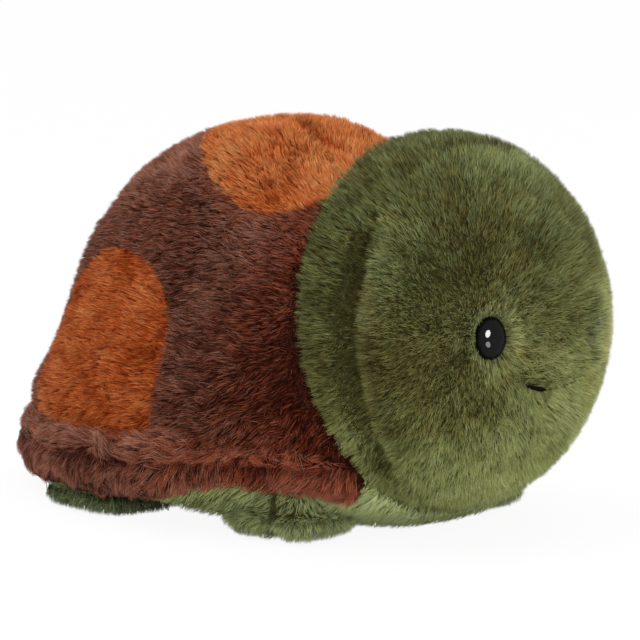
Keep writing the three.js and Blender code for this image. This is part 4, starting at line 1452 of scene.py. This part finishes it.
def make_skins():
    """The sewn skins: face, neck, the body's skins apart at their seams, the rim and the feet."""
    skin("face_skin", face_surface, finish["green_backing"], "body", ["head_cover"], FACE_GRID,
         span=FACE_SPAN, lips=[1], rise=socket_rise)
    skin("neck_skin", neck_surface, finish["green_backing"], "body", ["neck_band"], NECK_GRID,
         lips=[-1, 1])
    seam, top, flank = rim_seam_edge, top_spot_edge, flank_spot_edge
    for name, colour, node, edges, rise in (
        ("shell_skin", "brown", "shell_cover", [(seam, 1), (top, 1), (flank, 1)], shell_rise),
        ("belly_skin", "belly", "belly_panel", [(seam, -1)], belly_rise),
        ("crown_spot_skin", "orange", "spot_top", [(top, -1)], shell_rise),
    ):
        skin(name, body_surface, finish[f"{colour}_backing"], "body", [node], BODY_GRID,
             edges=edges, span=BODY_SPAN, lips=[1], rise=rise)
    for side, name in ((-1, "right"), (1, "left")):
        skin(f"{name}_spot_skin", body_surface, finish["orange_backing"], "body", [f"spot_{name}"],
             BODY_GRID, edges=[(seam, 1), (flank, -1)], span=BODY_SPAN,
             clear=lambda middle, side=side: middle[:, 1] * side > 0, rise=shell_rise)
    skin("rim_skin", rim_surface, finish["brown_backing"], "body", ["shell_rim"], RIM_GRID,
         closed=False, clear=behind_neck)
    for name, foot in feet().items():
        skin(f"{name}_skin", foot_surface(foot), finish["green_backing"], name, [f"{name}_cover"],
             FOOT_GRID, span=FOOT_SPAN, clear=lambda middle: depth_in_body(middle) < SKIN_IN_BODY)


def make_fillings():
    filling("face_filling", face_surface, "body", ["head_stuffing"], FACE_FILLING_GRID,
            FACE_FILLING_DEPTH, socket_rise)
    filling("body_filling", body_surface, "body", ["body_stuffing"], BODY_FILLING_GRID,
            BODY_FILLING_DEPTH)
    for name, foot in feet().items():
        filling(f"{name}_filling", foot_surface(foot), name, [f"{name}_stuffing"],
                FOOT_FILLING_GRID, FOOT_FILLING_DEPTH)


def eye_profile():
    """An eye's half section as (radius, height): stem, fillet, bevelled edge and flattened dome."""
    radius = EYE_TALL / 2
    angle = np.linspace(0, np.pi / 2, EYE_DOME_STEPS)[:-1]
    dome_radius = radius * np.cos(angle) ** EYE_DOME_POWER
    dome_height = EYE_EDGE + (EYE_DOME - EYE_EDGE) * np.sin(angle)
    low = [(POLE_RADIUS, -EYE_STEM_LENGTH), (EYE_STEM_RADIUS, -EYE_STEM_LENGTH)]
    low += [(EYE_STEM_RADIUS, -EYE_STEM_FILLET), (EYE_STEM_RADIUS + EYE_STEM_FILLET, 0)]
    low += [(radius - EYE_BEVEL, 0), (radius, EYE_EDGE_LOW)]
    return np.concatenate([low, np.stack([dome_radius, dome_height], -1), [(POLE_RADIUS, EYE_DOME)]])


def make_eyes():
    """Each eye is its profile turned about the way out, drawn oval, on a stem through the skin."""
    profile = eye_profile()
    angle = np.linspace(0, 2 * np.pi, EYE_SEGMENTS, endpoint=False)
    x = profile[:, :1] * np.cos(angle) * (EYE_WIDTH / EYE_TALL)
    y = profile[:, :1] * np.sin(angle)
    z = np.repeat(profile[:, 1:], EYE_SEGMENTS, 1)
    local = np.stack([x, y, z], -1).reshape(-1, 3)
    faces = grid_faces(len(profile), EYE_SEGMENTS, True)
    for side, name in ((-1, "right"), (1, "left")):
        place, axes = eye_frame(side)
        points = place - axes[2] * EYE_SINK + local @ axes
        obj = new_piece(f"eye_button_{name}", points, faces, finish["eye_black"], "body")
        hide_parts(f"eye_{name}")
        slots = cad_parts[f"eye_washer_{name}"].data.materials
        slots.clear()
        slots.append(finish["washer_plastic"])


def closing_path(share):
    """The closing thread's line, weaving down out of the belly's slit and back."""
    x = HEAD_X - CLOSING_BEHIND_HEAD + CLOSING_LENGTH * share / 2
    turn = np.pi * CLOSING_STITCHES * share
    z = BELLY_CLEARANCE + CLOSING_RISE + STITCH_RISE * np.sin(turn)
    return np.stack([x, STITCH_SWAY * np.cos(turn), z], -1)


def close_ends(obj):
    """Closes a tube's two open ends with a face each and turns all faces outwards."""
    shape = bmesh.new()
    shape.from_mesh(obj.data)
    bmesh.ops.remove_doubles(shape, verts=shape.verts, dist=MERGE_DISTANCE)
    bmesh.ops.holes_fill(shape, edges=[edge for edge in shape.edges if edge.is_boundary], sides=0)
    bmesh.ops.recalc_face_normals(shape, faces=shape.faces)
    shape.to_mesh(obj.data)
    shape.free()


def thread_piece(kind, path, radius, turns, replaced, bluntness):
    """Twisted thread: three plies wound round a path, as one ribbed tube, rounded off at its ends."""
    share = np.linspace(-1, 1, THREAD_STATIONS)
    line = path(share)
    ahead = unit(np.gradient(line, axis=0))
    first = unit(np.cross(ahead, THREAD_ASKEW))
    second = np.cross(ahead, first)
    angle = np.linspace(0, 2 * np.pi, THREAD_SIDES, endpoint=False)
    twist = angle[None] - 2 * np.pi * turns * share[:, None]
    ply = 1 + PLY_DEPTH_SHARE * np.cos(PLIES * twist)
    ends = np.sqrt(np.clip(1 - np.abs(share) ** bluntness, THREAD_TIP_SHARE, 1))
    size = radius * ply * ends[:, None]
    ring = np.cos(angle)[None, :, None] * first[:, None] + np.sin(angle)[None, :, None] * second[:, None]
    points = line[:, None] + size[..., None] * ring
    faces = grid_faces(THREAD_STATIONS, THREAD_SIDES, True)[:, ::-1]
    material = finish[f"{kind}_thread"]
    obj = new_piece(f"{kind}_stitching", points.reshape(-1, 3), faces, material, "body")
    close_ends(obj)
    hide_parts(replaced)


def make_threads():
    thread_piece("mouth", mouth_path, MOUTH_THREAD * MOUTH_RADIUS_SHARE, MOUTH_TURNS, "mouth_stitch",
                 MOUTH_BLUNTNESS)
    thread_piece("closing", closing_path, CLOSING_THREAD / 2, CLOSING_TURNS, "closing_thread",
                 CLOSING_BLUNTNESS)


def make_coats():
    """The pile of every skin."""
    tailwards, shell_way = combed(TAIL_WAY), combed(SHELL_WAY)
    coat("face_pile", FACE_COAT, face_surface, "body", "green_pile", face_keep, face_comb, face_tone,
         face_tint, rise=face_rise, trim=face_trim)
    coat("neck_pile", NECK_COAT, neck_surface, "body", "green_pile",
         lambda p: np.full(len(p), True), tailwards, neck_tone, face_tint)
    coat("shell_pile", SHELL_COAT, body_surface, "body", "brown_pile",
         lambda p: shell_keep(p) & (top_spot_edge(p) > 0) & (flank_spot_edge(p) > 0),
         shell_way, shell_tone, shell_tint, rise=shell_rise)
    coat("spot_pile", SPOT_COAT, body_surface, "body", "orange_pile",
         lambda p: shell_keep(p) & spots_keep(p), shell_way, spot_tone, spot_tint, rise=shell_rise)
    coat("belly_pile", BELLY_COAT, body_surface, "body", "belly_green_painted_light", belly_keep, tailwards,
         belly_tone, belly_tint, rise=belly_rise)
    coat("rim_pile", RIM_COAT, rim_surface, "body", "brown_pile",
         lambda p: behind_neck(p) & (depth_in_body(p) < PILE_IN_BODY), rim_comb, rim_tone, rim_tint,
         span=RIM_PILE_SPAN, rise=rim_rise)
    for number, (name, foot) in enumerate(feet().items()):
        coat(f"{name}_pile", FOOT_COAT._replace(seed=FOOT_COAT.seed + number), foot_surface(foot),
             name, "green_pile",
             lambda p: (depth_in_body(p) < PILE_IN_BODY) & (p[:, 2] > FOOT_PILE_ABOVE),
             combed(FOOT_WAY, FOOT_WAY_OUT), foot_tone, foot_tint, span=FOOT_PILE_SPAN,
             rise=foot_rise)


# Setting: floor, light and camera


def background_rays(nodes, links):
    """1 for camera, glossy and transmission rays, which see the background as white, else 0."""
    rays = nodes.new("ShaderNodeLightPath").outputs
    seen = math_node(nodes, links, "MAXIMUM", rays["Is Camera Ray"], rays["Is Glossy Ray"])
    return math_node(nodes, links, "MAXIMUM", seen, rays["Is Transmission Ray"])


def make_floor():
    """A pale floor that shows nearly white to the camera, and keeps the toy's shadow."""
    material, nodes, links, shader = new_material("studio_floor")
    shader.inputs["Base Color"].default_value = FLOOR_COLOUR
    shader.inputs["Roughness"].default_value = FLOOR_ROUGHNESS
    glow = nodes.new("ShaderNodeEmission")
    glow.inputs["Color"].default_value = WHITE
    mix = nodes.new("ShaderNodeMixShader")
    seen = math_node(nodes, links, "MULTIPLY", background_rays(nodes, links), FLOOR_WHITE_SHARE)
    links.new(seen, mix.inputs[0])
    links.new(shader.outputs[0], mix.inputs[1])
    links.new(glow.outputs[0], mix.inputs[2])
    links.new(mix.outputs[0], nodes["Material Output"].inputs["Surface"])
    half = FLOOR_HALF
    corners = [(-half, -half, 0), (half, -half, 0), (half, half, 0), (-half, half, 0)]
    mesh = bpy.data.meshes.new("studio_floor")
    mesh.from_pydata(corners, [], [(0, 1, 2, 3)])
    mesh.materials.append(material)
    floor = bpy.data.objects.new("studio_floor", mesh)
    bpy.context.collection.objects.link(floor)


def make_world():
    """Soft white light all round, and a white background."""
    world = bpy.data.worlds.new("studio")
    bpy.context.scene.world = world
    world.use_nodes = True
    nodes, links = world.node_tree.nodes, world.node_tree.links
    nodes.clear()
    out = nodes.new("ShaderNodeOutputWorld")
    mix = nodes.new("ShaderNodeMixShader")
    links.new(background_rays(nodes, links), mix.inputs[0])
    for place, strength in ((1, WORLD_STRENGTH), (2, 1.0)):
        sky = nodes.new("ShaderNodeBackground")
        sky.inputs["Color"].default_value = WHITE
        sky.inputs["Strength"].default_value = strength
        links.new(sky.outputs[0], mix.inputs[place])
    links.new(mix.outputs[0], out.inputs["Surface"])


def area_light(name, place, target, size, power):
    """A square area light at a place, aimed at a target."""
    data = bpy.data.lights.new(name, "AREA")
    data.size = size
    data.energy = power
    light = bpy.data.objects.new(name, data)
    light.location = place
    aim = Vector(target) - Vector(place)
    light.rotation_euler = aim.to_track_quat("-Z", "Y").to_euler()
    bpy.context.collection.objects.link(light)
    return light


def make_camera():
    """The photograph's viewing place, aimed so that the head's centre falls on its pixel."""
    level_way = np.array([np.sin(AZIMUTH), -np.cos(AZIMUTH), 0])
    back = level_way * np.cos(ELEVATION) + UPWARDS * np.sin(ELEVATION)
    right = np.array([np.cos(AZIMUTH), np.sin(AZIMUTH), 0])
    up = np.cross(back, right)
    place = HEAD_CENTRE + back * DISTANCE
    half = FRAME_PIXELS / 2
    target = (
        HEAD_CENTRE
        - right * (HEAD_PIXEL[0] - half) / PIXELS_PER_METRE
        + up * (HEAD_PIXEL[1] - half) / PIXELS_PER_METRE
    )
    data = bpy.data.cameras.new("camera")
    data.sensor_width = SENSOR
    data.lens = SENSOR * PIXELS_PER_METRE * DISTANCE / FRAME_PIXELS
    data.clip_end = FARTHEST
    camera = bpy.data.objects.new("camera", data)
    camera.location = place
    camera.rotation_euler = Vector(target - place).to_track_quat("-Z", "Y").to_euler()
    bpy.context.collection.objects.link(camera)
    bpy.context.scene.camera = camera
    return back, right, up


def make_setting():
    """Camera, floor, world, two soft lamps, and two small lights that only glint in the eyes."""
    bpy.context.scene.view_settings.view_transform = "Standard"
    back, right, up = make_camera()
    make_floor()
    make_world()
    for lamp in LAMPS:
        place = TOY_MIDDLE + back * lamp.towards + right * lamp.right + up * lamp.up
        area_light(lamp.name, place, TOY_MIDDLE, lamp.size, lamp.power).visible_glossy = False
    eye, _ = eye_frame(-1)
    for glint in EYE_GLINTS:
        way = right * glint.right + up * glint.up + back * glint.towards
        light = area_light(glint.name, eye + way * glint.reach, eye, glint.wide, glint.power)
        light.data.shape = "ELLIPSE"
        light.data.size_y = glint.tall
        light.visible_diffuse = False
        light.visible_camera = False


make_setting()
finish = make_finishes()
make_skins()
make_fillings()
make_eyes()
make_threads()
make_coats()
